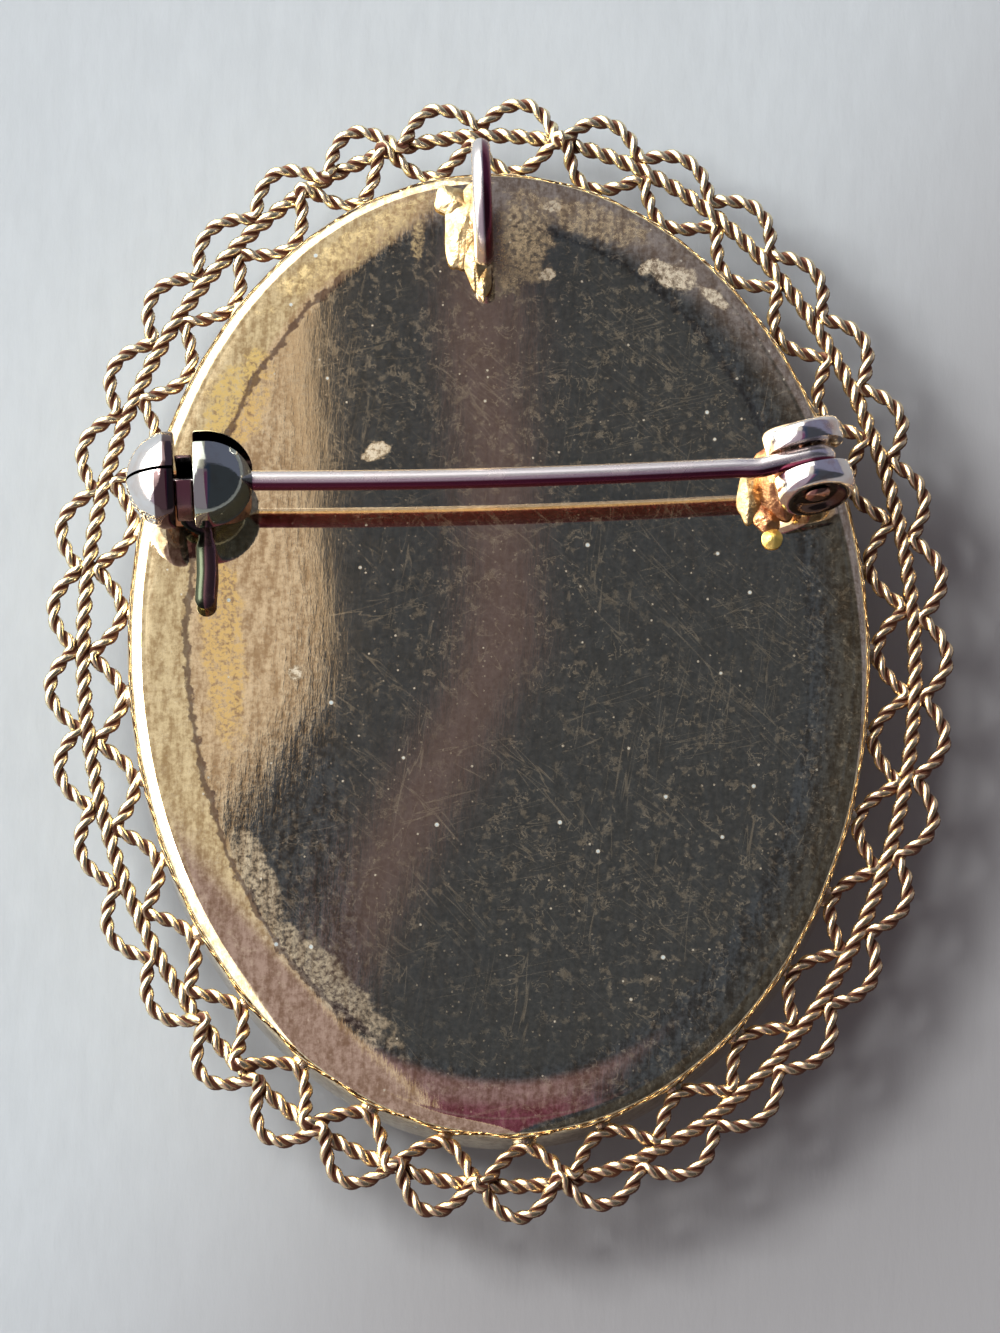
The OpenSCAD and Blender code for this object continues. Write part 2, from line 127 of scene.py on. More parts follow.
@dataclass
class Skin:
    """Points in millimetres and the faces between them, gathered into one mesh.

    Its marks are attributes of the mesh, each kept as runs of values from a first point.
    """

    points: list = field(default_factory=list)
    quads: list = field(default_factory=list)
    triangles: list = field(default_factory=list)
    marks: dict = field(default_factory=dict)
    count: int = 0

    def add_points(self, points: np.ndarray, **marks: np.ndarray) -> np.ndarray:
        """Adds an array of points.

        Args:
            points: The points, with x, y and z in the last axis.
            **marks: One value for each point, kept as an attribute of the mesh.

        Returns:
            The index of each point, in the shape of the array without its last axis.
        """
        shape = points.shape[:-1]
        total = int(np.prod(shape))
        self.points.append(points.reshape(-1, 3))
        for name, values in marks.items():
            spread = np.broadcast_to(values, shape).ravel()
            self.marks.setdefault(name, []).append((self.count, spread))
        index = self.count + np.arange(total).reshape(shape)
        self.count += total
        return index

    def mark(self, name: str, values: np.ndarray) -> None:
        """Gives all the points an attribute's values, in place of any that they had."""
        self.marks[name] = [(0, np.ravel(values))]

    def join(
        self, index: np.ndarray, closed_rows: bool = False, closed_columns: bool = False
    ) -> None:
        """Lays a quad in each cell of a grid of point indices.

        Args:
            index: The grid of indices, rows by columns.
            closed_rows: Whether the last row meets the first.
            closed_columns: Whether the last column meets the first.
        """
        if closed_columns:
            index = np.concatenate([index, index[:, :1]], axis=1)
        if closed_rows:
            index = np.concatenate([index, index[:1]], axis=0)
        corners = [index[:-1, :-1], index[:-1, 1:], index[1:, 1:], index[1:, :-1]]
        self.quads.append(np.stack(corners, axis=-1).reshape(-1, 4))

    def fan(self, ring: np.ndarray, apex: np.ndarray, flip: bool = False) -> None:
        """Closes a ring of points with triangles that meet in a new point.

        Args:
            ring: The ring's point indices, in order.
            apex: The new point's place.
            flip: Whether the triangles face the other way.
        """
        tip = self.add_points(np.asarray(apex, float).reshape(1, 3))[0]
        following = np.roll(ring, -1)
        if flip:
            ring, following = following, ring
        self.triangles.append(np.stack([ring, following, np.full_like(ring, tip)], axis=-1))

    def tube(
        self,
        path: np.ndarray,
        radius: np.ndarray,
        sides: int,
        shaded_way: np.ndarray,
        up: np.ndarray = UP,
        flatten: float = 1.0,
    ) -> None:
        """Carries a circle along an open path, as p + r (cos a * side + f sin a * over).

        Its two ends are closed by fans.

        Args:
            path: The points of the path.
            radius: The circle's radius at each point.
            sides: The number of points round the circle.
            shaded_way: A direction. The attribute facing tells how far each point faces it.
            up: What the second axis of the circle leans to, one vector or one per point.
            flatten: The section's height over its width.
        """
        ahead = np.roll(path, -1, axis=0) - np.roll(path, 1, axis=0)
        ahead[0] = path[1] - path[0]
        ahead[-1] = path[-1] - path[-2]
        ahead = unit(ahead)
        side = unit(np.cross(ahead, up))
        over = np.cross(side, ahead)
        angle = np.linspace(0, TAU, sides, endpoint=False)[None, :, None]
        circle = np.cos(angle) * side[:, None] + flatten * np.sin(angle) * over[:, None]
        points = path[:, None] + radius[:, None, None] * circle
        # The platings paint shade where facing is high, on the side this direction points to
        index = self.add_points(points, facing=circle @ shaded_way)
        self.join(index, closed_columns=True)
        self.fan(index[0], path[0], flip=True)
        self.fan(index[-1], path[-1])

    def lathe(
        self, profile: np.ndarray, centre: np.ndarray, axis: np.ndarray, sides: int, closed: bool
    ) -> None:
        """Turns a profile about an axis, as c + h * axis + r (cos a * u + sin a * v).

        Args:
            profile: Rows of radius and height along the axis.
            centre: The point on the axis at height 0.
            axis: The axis, of length 1.
            sides: The number of points round the axis.
            closed: Whether the profile's end meets its start, as on a ring. Otherwise
                both its ends lie on the axis and are closed by fans.
        """
        across = unit(np.cross(axis, UP if abs(axis[2]) < 0.9 else np.array([1.0, 0, 0])))
        other = np.cross(axis, across)
        angle = np.linspace(0, TAU, sides, endpoint=False)[None, :, None]
        turn = np.cos(angle) * across + np.sin(angle) * other
        rows = profile if closed else profile[1:-1]
        radius, height = rows[:, 0, None, None], rows[:, 1, None, None]
        index = self.add_points(centre + height * axis + radius * turn)
        self.join(index, closed_rows=closed, closed_columns=True)
        if not closed:
            self.fan(index[0], centre + profile[0, 1] * axis, flip=True)
            self.fan(index[-1], centre + profile[-1, 1] * axis)

    def mesh(self, name: str) -> bpy.types.Mesh:
        """Turns the gathered points, faces and marks into one mesh that faces outwards.

        Args:
            name: The mesh's name.

        Returns:
            The new mesh, in metres.
        """
        points = np.concatenate(self.points)
        quads = np.concatenate(self.quads) if self.quads else np.zeros((0, 4), int)
        triangles = np.concatenate(self.triangles) if self.triangles else np.zeros((0, 3), int)
        if signed_volume(quads, points) + signed_volume(triangles, points) < 0:
            quads, triangles = quads[:, ::-1], triangles[:, ::-1]
        mesh = bpy.data.meshes.new(name)
        corners = np.concatenate([quads.ravel(), triangles.ravel()]).astype(np.int32)
        sides = np.repeat([4, 3], [len(quads), len(triangles)])
        starts = np.cumsum(sides) - sides
        mesh.vertices.add(len(points))
        mesh.vertices.foreach_set("co", (points * MM).astype(np.float32).ravel())
        mesh.loops.add(len(corners))
        mesh.loops.foreach_set("vertex_index", corners)
        mesh.polygons.add(len(starts))
        mesh.polygons.foreach_set("loop_start", starts.astype(np.int32))
        for mark, runs in self.marks.items():
            values = np.zeros(len(points), np.float32)
            for start, run in runs:
                values[start:start + len(run)] = run
            mesh.attributes.new(mark, "FLOAT", "POINT").data.foreach_set("value", values)
        mesh.update(calc_edges=True)
        mesh.validate()
        mesh.shade_smooth()
        return mesh

    def build(
        self,
        name: str,
        material: bpy.types.Material,
        slot: str,
        replaces: Sequence[str] = (),
        body: Body = Body.BROOCH,
        sharp_deg: float = 40,
        bevel: float = 0,
    ) -> bpy.types.Object:
        """Makes the gathered faces one piece of the brooch.

        Args:
            name: The piece's name.
            material: Its finish.
            slot: The record's material slot that the piece stands for; not used.
            replaces: The CAD nodes that it stands for.
            body: The body that it rides on.
            sharp_deg: Edges sharper than this stay sharp.
            bevel: The width of the rounding of its sharp edges, or 0.

        Returns:
            The new object, at the origin.
        """
        mesh = self.mesh(name)
        mesh.set_sharp_from_angle(angle=math.radians(sharp_deg))
        piece = bpy.data.objects.new(name, mesh)
        bpy.context.scene.collection.objects.link(piece)
        mesh.materials.append(material)
        if bevel:
            rounding = piece.modifiers.new("Rounding", "BEVEL")
            rounding.width = bevel * MM
            rounding.segments = 2
            rounding.limit_method = "ANGLE"
            rounding.angle_limit = math.radians(sharp_deg)
            rounding.harden_normals = False
        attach(piece, body.value)
        if replaces:
            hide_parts(*replaces)
        LOG.info("%s: %d points, %d faces", name, len(mesh.vertices), len(mesh.polygons))
        return piece


# Finishes


class Graph:
    """A node tree with short calls for the nodes that the finishes use."""

    def __init__(self, tree: bpy.types.NodeTree) -> None:
        """Empties the tree.

        Args:
            tree: The material's or the world's node tree.
        """
        self.tree = tree
        tree.nodes.clear()

    def node(self, kind: str, **settings: object) -> bpy.types.Node:
        """Adds a node.

        Args:
            kind: The node's type.
            **settings: Values for the node's own properties.

        Returns:
            The new node.
        """
        node = self.tree.nodes.new(kind)
        for name, value in settings.items():
            setattr(node, name, value)
        return node

    def feed(self, socket: Socket, value: object) -> None:
        """Links a socket to another, or sets its value.

        Args:
            socket: The input socket.
            value: The socket or the plain value that it takes.
        """
        if isinstance(value, bpy.types.NodeSocket):
            self.tree.links.new(value, socket)
        else:
            socket.default_value = value

    def dress(self, node: bpy.types.Node, **inputs: object) -> None:
        """Feeds some of a node's inputs, each named as base_color is for Base Color.

        Args:
            node: The node.
            **inputs: The sockets or values that its inputs take.
        """
        for name, value in inputs.items():
            self.feed(node.inputs[name.replace("_", " ").title()], value)

    def maths(self, operation: str, a: Number, b: Number = 0.0, c: Number = 0.0) -> Socket:
        """One step of arithmetic on single numbers.

        Args:
            operation: The node's operation.
            a: The first number.
            b: The second, where it takes two.
            c: The third, where it takes three.

        Returns:
            The result's socket.
        """
        node = self.node("ShaderNodeMath", operation=operation)
        for socket, value in zip(node.inputs, (a, b, c)):
            self.feed(socket, value)
        return node.outputs[0]

    def times(self, a: Number, b: Number) -> Socket:
        """The product of two numbers."""
        return self.maths("MULTIPLY", a, b)

    def scaled(self, a: Number, factor: Number, plus: Number) -> Socket:
        """A number times a factor, plus another."""
        return self.maths("MULTIPLY_ADD", a, factor, plus)

    def larger(self, a: Number, b: Number) -> Socket:
        """The larger of two numbers."""
        return self.maths("MAXIMUM", a, b)

    def past(self, a: Number, b: Number) -> Socket:
        """How far a number lies past another, or 0."""
        return self.larger(self.maths("SUBTRACT", a, b), 0.0)

    def ridge(self, noise: Socket, width: float, full: float = 0) -> Socket:
        """A line where noise crosses its middle value, 1 within full and 0 past width."""
        return self.rise(self.maths("ABSOLUTE", self.maths("SUBTRACT", noise, 0.5)), width, full)

    def rise(
        self, value: Number, low: Number, high: Number, start: float = 0, end: float = 1
    ) -> Socket:
        """A smooth step from start to end as value goes from low to high.

        Args:
            value: The number that it follows.
            low: Where the step starts, which may lie above high.
            high: Where it ends.
            start: The result up to low.
            end: The result past high.

        Returns:
            The result's socket.
        """
        node = self.node("ShaderNodeMapRange", interpolation_type="SMOOTHSTEP")
        for socket, number in zip(node.inputs, (value, low, high, start, end)):
            self.feed(socket, number)
        return node.outputs[0]

    def mix(self, share: Number, a: Tint, b: Tint) -> Socket:
        """Blends two colours.

        Args:
            share: How much of b there is, from 0 to 1.
            a: The colour at 0.
            b: The colour at 1.

        Returns:
            The blend's socket.
        """
        node = self.node("ShaderNodeMix", data_type="RGBA")
        self.dress(node, factor=share)
        colours = [s for s in node.inputs if s.type == "RGBA"]
        for socket, value in zip(colours, (a, b)):
            self.feed(socket, (*value, 1) if isinstance(value, tuple) else value)
        return [s for s in node.outputs if s.type == "RGBA"][0]

    def place(
        self,
        turn_deg: float = 0,
        stretch: Sequence[float] = (1, 1, 1),
        centre: Sequence[float] = (0, 0, 0),
    ) -> Socket:
        """Object coordinates in millimetres, moved, turned about Z and stretched.

        Args:
            turn_deg: The turn about Z.
            stretch: Factors along the three turned axes.
            centre: The point that becomes the origin, in millimetres.

        Returns:
            The vector socket.
        """
        coordinates = self.node("ShaderNodeTexCoord").outputs["Object"]
        shift = self.node("ShaderNodeVectorMath", operation="MULTIPLY_ADD")
        self.feed(shift.inputs[0], coordinates)
        self.feed(shift.inputs[1], (1 / MM,) * 3)
        self.feed(shift.inputs[2], tuple(-c for c in centre))
        turned = self.node("ShaderNodeVectorRotate", rotation_type="Z_AXIS")
        self.dress(turned, vector=shift.outputs[0], angle=math.radians(turn_deg))
        scaled = self.node("ShaderNodeVectorMath", operation="MULTIPLY")
        self.feed(scaled.inputs[0], turned.outputs[0])
        self.feed(scaled.inputs[1], tuple(stretch))
        return scaled.outputs[0]

    def noise(
        self, vector: Socket, scale: float, detail: float = 2, rough: float = 0.5, bend: float = 0
    ) -> Socket:
        """Soft noise from 0 to 1.

        Args:
            vector: The place that it is read at.
            scale: How many waves it has in each millimetre.
            detail: How many finer layers it has.
            rough: How strong the finer layers are.
            bend: How far it is distorted.

        Returns:
            The noise's socket.
        """
        node = self.node("ShaderNodeTexNoise")
        self.dress(node, vector=vector, scale=scale, detail=detail)
        self.dress(node, roughness=rough, distortion=bend)
        return node.outputs[0]

    def cells(self, vector: Socket, scale: float) -> tuple:
        """Points scattered at random.

        Args:
            vector: The place that they are read at.
            scale: How many there are along each millimetre.

        Returns:
            The distance to the nearest point, and that point's own random colour.
        """
        node = self.node("ShaderNodeTexVoronoi")
        self.dress(node, vector=vector, scale=scale)
        return node.outputs["Distance"], node.outputs["Color"]

    def attribute(self, name: str) -> Socket:
        """A value that the piece's own mesh carries."""
        return self.node("ShaderNodeAttribute", attribute_name=name).outputs["Fac"]

    def length(self, vector: Socket) -> Socket:
        """The length of a vector."""
        node = self.node("ShaderNodeVectorMath", operation="LENGTH")
        self.feed(node.inputs[0], vector)
        return node.outputs["Value"]

    def parts(self, vector: Socket) -> tuple:
        """The three parts of a vector."""
        node = self.node("ShaderNodeSeparateXYZ")
        self.feed(node.inputs[0], vector)
        return tuple(node.outputs)

    def bump(self, height: Socket, depth: float, strength: Number = 1.0) -> Socket:
        """A bumped normal.

        Args:
            height: The uneven surface, from 0 to 1.
            depth: Its full height in millimetres.
            strength: The share of it that shows.

        Returns:
            The normal's socket.
        """
        node = self.node("ShaderNodeBump")
        self.dress(node, strength=strength, distance=depth * MM, height=height)
        return node.outputs[0]


@dataclass(frozen=True)
class Finish:
    """A finish made of noise in its colour and roughness over a plain shader."""

    name: str
    tint: tuple
    metallic: float = 1.0
    roughness: float = 0.15

    def begin(self) -> tuple:
        """Makes the material with its shader.

        Returns:
            The material, its graph and its shader node.
        """
        material = bpy.data.materials.new(self.name)
        material.use_nodes = True
        graph = Graph(material.node_tree)
        shader = graph.node("ShaderNodeBsdfPrincipled")
        output = graph.node("ShaderNodeOutputMaterial")
        graph.dress(output, surface=shader.outputs[0])
        tint = (*self.tint, 1)
        graph.dress(shader, base_color=tint, metallic=self.metallic, roughness=self.roughness)
        return material, graph, shader

    def material(self) -> bpy.types.Material:
        """The finished material. Kinds of finish put their own pattern here."""
        return self.begin()[0]


@dataclass(frozen=True)
class WireGilt(Finish):
    """Gilt twisted wire, bright on its strands, with tarnish between them and painted shade on their
    lower right sides.
    """

    # Colour of the tarnish in the grooves and of the painted shade on the strands' lower right sides
    tarnish: tuple = (0.15, 0.058, 0.034)
    # Redder gilt, painted towards the lower right as shade
    shaded_gilt: tuple = (0.98, 0.75, 0.44)

    def material(self) -> bpy.types.Material:
        """Gilt that darkens with tarnish in the grooves and with painted shade on the strands' lower
        right sides, and reddens towards the lower right as painted shade.
        """
        material, graph, shader = super().begin()
        where = graph.place()
        groove = graph.attribute("groove")
        patches = graph.noise(where, 0.35, 3)
        x, y, _ = graph.parts(where)
        # Painted shade: the gilt turns redder towards the lower right, away from the light
        lean = graph.maths("SUBTRACT", x, y)
        gilt = graph.mix(graph.rise(lean, -14, 20), self.tint, self.shaded_gilt)
        # Tarnish in the grooves and painted shade on the side turned from the light, both read from the
        # groove attribute
        dirt_and_shade = graph.rise(graph.scaled(patches, 0.3, groove), 0.42, 0.64)
        graph.dress(
            shader,
            base_color=graph.mix(dirt_and_shade, gilt, self.tarnish),
            roughness=graph.rise(dirt_and_shade, 0, 1, self.roughness, 0.6),
            metallic=graph.rise(dirt_and_shade, 0, 1, 1, 0.6),
        )
        return material


@dataclass(frozen=True)
class Spot:
    """A stain or a patch of solder flow on the back plate, in millimetres."""

    x: float
    y: float
    half_w: float
    half_h: float
    turn_deg: float = 0.0

    def mask(self, graph: Graph, ragged: Number) -> Socket:
        """How much a point lies in the patch, from 0 to 1.

        Args:
            graph: The graph of the finish.
            ragged: Noise that frays the patch's edge.

        Returns:
            The socket with the share.
        """
        stretch = (1 / self.half_w, 1 / self.half_h, 0)
        far = graph.length(graph.place(self.turn_deg, stretch, (self.x, self.y, 0)))
        # Noise of a half leaves the edge where it is
        frayed = graph.maths("ADD", far, graph.scaled(ragged, 1.6, -0.8))
        return graph.rise(frayed, 1.15, 0.75)


@dataclass(frozen=True)
class PlateGilt(Finish):
    """Mirror-polished gilt with grain, scratches, dust, stains, a film of tarnish and a painted
    reflection line inside the rim.
    """

    dull: tuple = (0.50, 0.35, 0.19)
    bright: tuple = (1.0, 0.83, 0.54)
    dust: tuple = (0.44, 0.57, 0.63)
    stain: tuple = (0.50, 0.49, 0.43)
    flow: tuple = (0.88, 0.68, 0.34)
    yellow: tuple = (1.0, 0.74, 0.30)
    smear: tuple = (0.36, 0.27, 0.17)
    # Colour of the dark line painted inside the rim as a reflection edge
    painted_reflection_line: tuple = (0.13, 0.075, 0.06)
    stains: tuple = (
        Spot(7.9, 15.7, 1.1, 0.55, 18),
        Spot(6.9, 16.15, 0.5, 0.3, -30),
        Spot(9.5, 14.7, 0.7, 0.3, 40),
        Spot(-4.8, 8.5, 0.55, 0.4, -20),
        Spot(2.94, 18.9, 0.35, 0.25),
        Spot(2.6, 15.9, 0.3, 0.25),
        Spot(-8.4, -0.9, 0.3, 0.35),
    )
    flows: tuple = (
        Spot(-2.75, 17.7, 0.3, 0.9, 5),
        Spot(-5.6, 17.3, 3.9, 0.75, -33),
    )
    yellows: tuple = (Spot(-11.4, 0.6, 0.9, 4.6, -2), Spot(-10.6, 10.6, 1.2, 2.6, 22))
    smears: tuple = (Spot(1.3, 17.4, 1.5, 2.3, 18), Spot(4.6, 18.2, 2.2, 0.8, 18))
    sands: tuple = (Spot(-7.6, -13.9, 0.8, 4.2, -42), Spot(-10.3, -9.4, 0.7, 2.2, -20))
    # Turn in degrees, stretch and width in the noise's own values
    scratch_ways: tuple = (
        (12, 0.07, 0.014),
        (78, 0.08, 0.012),
        (-40, 0.07, 0.014),
        (130, 0.09, 0.012),
    )
    # Cells along a millimetre, size in cells, share without a speck and how much it shows
    speck_kinds: tuple = ((0.75, 0.09, 0.62, 0.85), (1.7, 0.12, 0.72, 0.4), (3.4, 0.2, 0.55, 0.12))
    grain_depth: float = 0.0014
    reflection_line_inset: float = 2.5
    film_cover: float = 0.028
    worm_cover: float = 0.085
    scratch_cover: float = 0.07

    def patch(self, graph: Graph, spots: Sequence[Spot], fray: Socket) -> Socket:
        """How much a point lies in any of the spots.

        Args:
            graph: The graph of the finish.
            spots: The patches of one kind.
            fray: Noise that frays their edges.

        Returns:
            The socket with the largest share.
        """
        share: Number = 0.0
        for spot in spots:
            share = graph.larger(share, spot.mask(graph, fray))
        return share

    def scratches(self, graph: Graph) -> Socket:
        """Thin ridges of noise that is stretched in several directions, here and there.

        Args:
            graph: The graph of the finish.

        Returns:
            The socket with how much a point is scratched.
        """
        scratch: Number = 0.0
        for turn, spread, width in self.scratch_ways:
            line = graph.ridge(graph.noise(graph.place(turn, (1, spread, 1)), 2.4, 1), width)
            broken = graph.rise(graph.noise(graph.place(turn, (1, 0.3, 1)), 0.6, 2), 0.52, 0.6)
            scratch = graph.larger(scratch, graph.times(line, broken))
        return scratch

    def specks(self, graph: Graph, where: Socket) -> Socket:
        """Specks of dust, one in some of the cells, and a finer speckle.

        Args:
            graph: The graph of the finish.
            where: The place in millimetres.

        Returns:
            The socket with how much dust lies there.
        """
        specks: Number = 0.0
        for scale, size, share, shown in self.speck_kinds:
            far, own = graph.cells(where, scale)
            chosen = graph.rise(graph.parts(own)[0], share, share + 0.04, 0, shown)
            specks = graph.larger(specks, graph.times(graph.rise(far, size, size * 0.4), chosen))
        return specks

    def worms(self, graph: Graph, where: Socket) -> Socket:
        """Short crooked marks, as ridges of noise, denser in some places.

        Args:
            graph: The graph of the finish.
            where: The place in millimetres.

        Returns:
            The socket with how marked the metal is there.
        """
        line = graph.ridge(graph.noise(where, 1.9, 2, 0.6, 0.8), 0.035, 0.008)
        broken = graph.rise(graph.noise(where, 1.3, 2), 0.47, 0.62)
        blots = graph.rise(graph.noise(where, 2.6, 2, 0.6), 0.52, 0.72, 0, 0.8)
        dense = graph.rise(graph.noise(where, 0.12, 2), 0.35, 0.6, 0.45, 1)
        marks = graph.larger(graph.times(line, broken), blots)
        return graph.times(marks, dense)

    def material(self) -> bpy.types.Material:
        """Polished gilt under its marks, each at its own scale."""
        material, graph, shader = super().begin()
        where = graph.place()
        x, y, _ = graph.parts(where)
        inset = graph.attribute("inset")
        fray = graph.noise(where, 1.6, 4, 0.6)
        fine = graph.noise(where, 4.5, 3, 0.7)
        streaks = graph.noise(graph.place(4, (1, 0.2, 1)), 3.0, 4, 0.65)
        # Rough at the left and round the rim, smooth in the middle
        left = graph.rise(graph.scaled(y, 0.10, x), -6.0, -8.6)
        rough_part = graph.larger(left, graph.rise(inset, 3.0, 2.3))
        tone = graph.scaled(streaks, 0.55, graph.times(fine, 0.45))
        grain = graph.mix(graph.rise(tone, 0.36, 0.64), self.dull, self.bright)
        colour = graph.mix(graph.rise(rough_part, 0, 1, 0.3, 1), self.tint, grain)
        yellow = graph.times(self.patch(graph, self.yellows, fray), graph.rise(fine, 0.38, 0.58))
        colour = graph.mix(yellow, colour, self.yellow)
        # A dark line painted round inside the rim where the cushion begins, a painted reflection edge,
        # shown at the left and upper right
        wander = graph.scaled(graph.noise(where, 0.9, 3), 0.5, -0.25)
        past = graph.maths("SUBTRACT", inset, self.reflection_line_inset)
        off = graph.maths("ABSOLUTE", graph.maths("ADD", wander, past))
        line = graph.rise(graph.scaled(graph.rise(fray, 0.42, 0.7), -0.2, off), 0.12, 0.02)
        upper_right = graph.rise(graph.maths("ADD", x, y), 17, 20, 0, 0.45)
        shown = graph.larger(graph.rise(x, -4.5, -6.5), upper_right)
        colour = graph.mix(graph.times(line, graph.times(shown, 0.8)), colour, self.painted_reflection_line)
        # Dust and marks, pale over the metal
        cover = graph.larger(self.specks(graph, where), graph.times(fine, self.film_cover))
        cover = graph.larger(cover, graph.times(self.worms(graph, where), self.worm_cover))
        cover = graph.larger(cover, graph.times(self.scratches(graph), self.scratch_cover))
        colour = graph.mix(cover, colour, self.dust)
        metal = graph.maths("SUBTRACT", 1.0, cover)
        rough = graph.scaled(cover, 0.4, self.roughness)
        for spots, tint, amount, coarse, bare in (
            (self.smears, self.smear, 0.75, 0.35, 0.25),
            (self.sands, self.stain, 0.22, 0.4, 0.9),
            (self.stains, self.stain, 0.6, 0.5, 1.0),
            (self.flows, self.flow, 0.8, 0.22, 0.0),
        ):
            mottle = graph.rise(fine, 0.34, 0.62, 0.15 * amount, amount)
            patch = graph.times(self.patch(graph, spots, fray), mottle)
            colour = graph.mix(patch, colour, tint)
            rough = graph.scaled(patch, coarse, rough)
            metal = graph.scaled(patch, -bare, metal)
        depth = graph.rise(rough_part, 0, 1, 0.35, 1)
        normal = graph.bump(graph.scaled(fine, 0.25, streaks), self.grain_depth, depth)
        metal = graph.larger(metal, 0.0)
        graph.dress(shader, base_color=colour, metallic=metal, roughness=rough, normal=normal)
        return material


@dataclass(frozen=True)
class SolderRun(Finish):
    """Run solder, lumpy and mottled with burnt flux."""

    burnt: tuple = (0.36, 0.16, 0.06)
    amount: float = 0.6
    lump_depth: float = 0.11

    def material(self) -> bpy.types.Material:
        """Mottled solder."""
        material, graph, shader = super().begin()
        where = graph.place()
        mottle = graph.rise(graph.noise(where, 1.8, 4, 0.65), 0.44, 0.62, 0, self.amount)
        graph.dress(
            shader,
            base_color=graph.mix(mottle, self.tint, self.burnt),
            roughness=graph.rise(mottle, 0, 1, self.roughness, 0.45),
            normal=graph.bump(graph.noise(where, 2.0, 4, 0.6), self.lump_depth),
        )
        return material


@dataclass(frozen=True)
class Plating(Finish):
    """Polished plating with a film of wear, warmer where it has worn through, and with painted shade
    where its mesh's facing attribute is high.
    """

    worn: tuple = (0.62, 0.40, 0.28)
    amount: float = 0.35
    # Colour of the painted shade
    painted_shade: tuple = (0.16, 0.035, 0.065)
    rub_depth: float = 0.003

    def material(self) -> bpy.types.Material:
        """Plating with worn patches, fine rubbing marks and painted shade on the marked side."""
        material, graph, shader = super().begin()
        where = graph.place()
        wear = graph.rise(graph.noise(where, 0.9, 4, 0.6), 0.45, 0.72, 0, self.amount)
        plating = graph.mix(wear, self.tint, self.worn)
        # Painted shade: darker in slots and dishes and on the sides turned from the light, by the
        # facing attribute
        side = graph.rise(graph.attribute("facing"), 0.02, 0.25)
        rubbing = graph.noise(graph.place(0, (0.4, 6, 6)), 1.5, 2)
        graph.dress(
            shader,
            base_color=graph.mix(side, plating, self.painted_shade),
            roughness=graph.rise(wear, 0, 1, self.roughness, 0.4),
            normal=graph.bump(rubbing, self.rub_depth),
        )
        return material


@dataclass(frozen=True)
class CameoStone(Finish):
    """Warm stone whose raised carving is in a paler layer."""

    layer: tuple = (0.88, 0.80, 0.70)
    glow_reach: tuple = (0.6, 0.35, 0.2)

    def material(self) -> bpy.types.Material:
        """Dark ground where the carving is low, ivory where it is raised."""
        material, graph, shader = super().begin()
        cloud = graph.rise(graph.noise(graph.place(), 0.25, 4, 0.55), 0.3, 0.7)
        ground = graph.mix(cloud, self.tint, tuple(0.72 * c for c in self.tint))
        pale = graph.mix(cloud, self.layer, tuple(0.93 * c for c in self.layer))
        carved = graph.rise(graph.attribute("raised"), 0.02, 0.16)
        graph.dress(
            shader,
            base_color=graph.mix(carved, ground, pale),
            subsurface_weight=0.15,
            subsurface_radius=tuple(reach * MM for reach in self.glow_reach),
            subsurface_scale=1.0,
            coat_weight=0.25,
        )
        return material


@dataclass(frozen=True)
class PaleCloth(Finish):
    """The pale surface that the brooch lies on, with shade painted towards the lower right."""

    painted_falloff_tint: tuple = (0.345, 0.352, 0.37)
    nap_depth: float = 0.05

    def material(self) -> bpy.types.Material:
        """Matt, with a faint uneven nap and painted shade towards the lower right."""
        material, graph, shader = super().begin()
        where = graph.place()
        nap = graph.noise(graph.place(4, (1, 0.25, 1)), 1.4, 4, 0.6)
        cloud = graph.noise(where, 0.05, 3)
        tone = graph.scaled(nap, 0.5, graph.times(cloud, 0.5))
        darker = tuple(0.93 * c for c in self.tint)
        sheet = graph.mix(graph.rise(tone, 0.35, 0.65), darker, self.tint)
        x, y, _ = graph.parts(where)
        # Painted shade: the light's falloff towards the lower right
        slope = graph.rise(graph.scaled(y, -0.75, x), -9, 21)
        normal = graph.bump(nap, self.nap_depth, 0.6)
        graph.dress(shader, base_color=graph.mix(slope, sheet, self.painted_falloff_tint), normal=normal)
        return material


# The brooch


@dataclass(frozen=True)
class Oval:
    """The cup's outline, an ellipse that is read by the direction it faces."""

    half_w: float
    half_h: float

    def at(self, heading: np.ndarray, out: Union[float, np.ndarray]) -> np.ndarray:
        """The point that faces a heading t, moved outwards by a distance.

        With s = sqrt(a^2 sin^2 t + b^2 cos^2 t) it is
        (a^2 sin t / s + out sin t, b^2 cos t / s + out cos t).

        Args:
            heading: The direction that the outline faces, in radians from +Y to +X.
            out: The distance outside the outline, in millimetres.

        Returns:
            The points' x and y.
        """
        east, north = np.sin(heading), np.cos(heading)
        support = np.sqrt((self.half_w * east) ** 2 + (self.half_h * north) ** 2)
        x = self.half_w**2 * east / support + out * east
        y = self.half_h**2 * north / support + out * north
        return np.stack(np.broadcast_arrays(x, y), axis=-1)

    def headings(self, share: np.ndarray, out: float) -> np.ndarray:
        """The headings that lie at shares of the way round, by length at a distance out.

        Args:
            share: Shares of the whole way round, which may run past 0 and 1.
            out: The distance outside the outline at which length is measured.

        Returns:
            The headings, in radians.
        """
        steps = np.linspace(0, TAU, 8193)
        run = np.linalg.norm(np.diff(self.at(steps, out), axis=0), axis=-1)
        reached = np.concatenate([[0], np.cumsum(run)])
        whole = np.floor(share)
        return np.interp((share - whole) * reached[-1], reached, steps) + TAU * whole


def lifted(flat: np.ndarray, z: Union[float, np.ndarray]) -> np.ndarray:
    """Gives flat points a height."""
    height = np.broadcast_to(z, flat.shape[:-1])
    return np.concatenate([flat, height[..., None]], axis=-1)


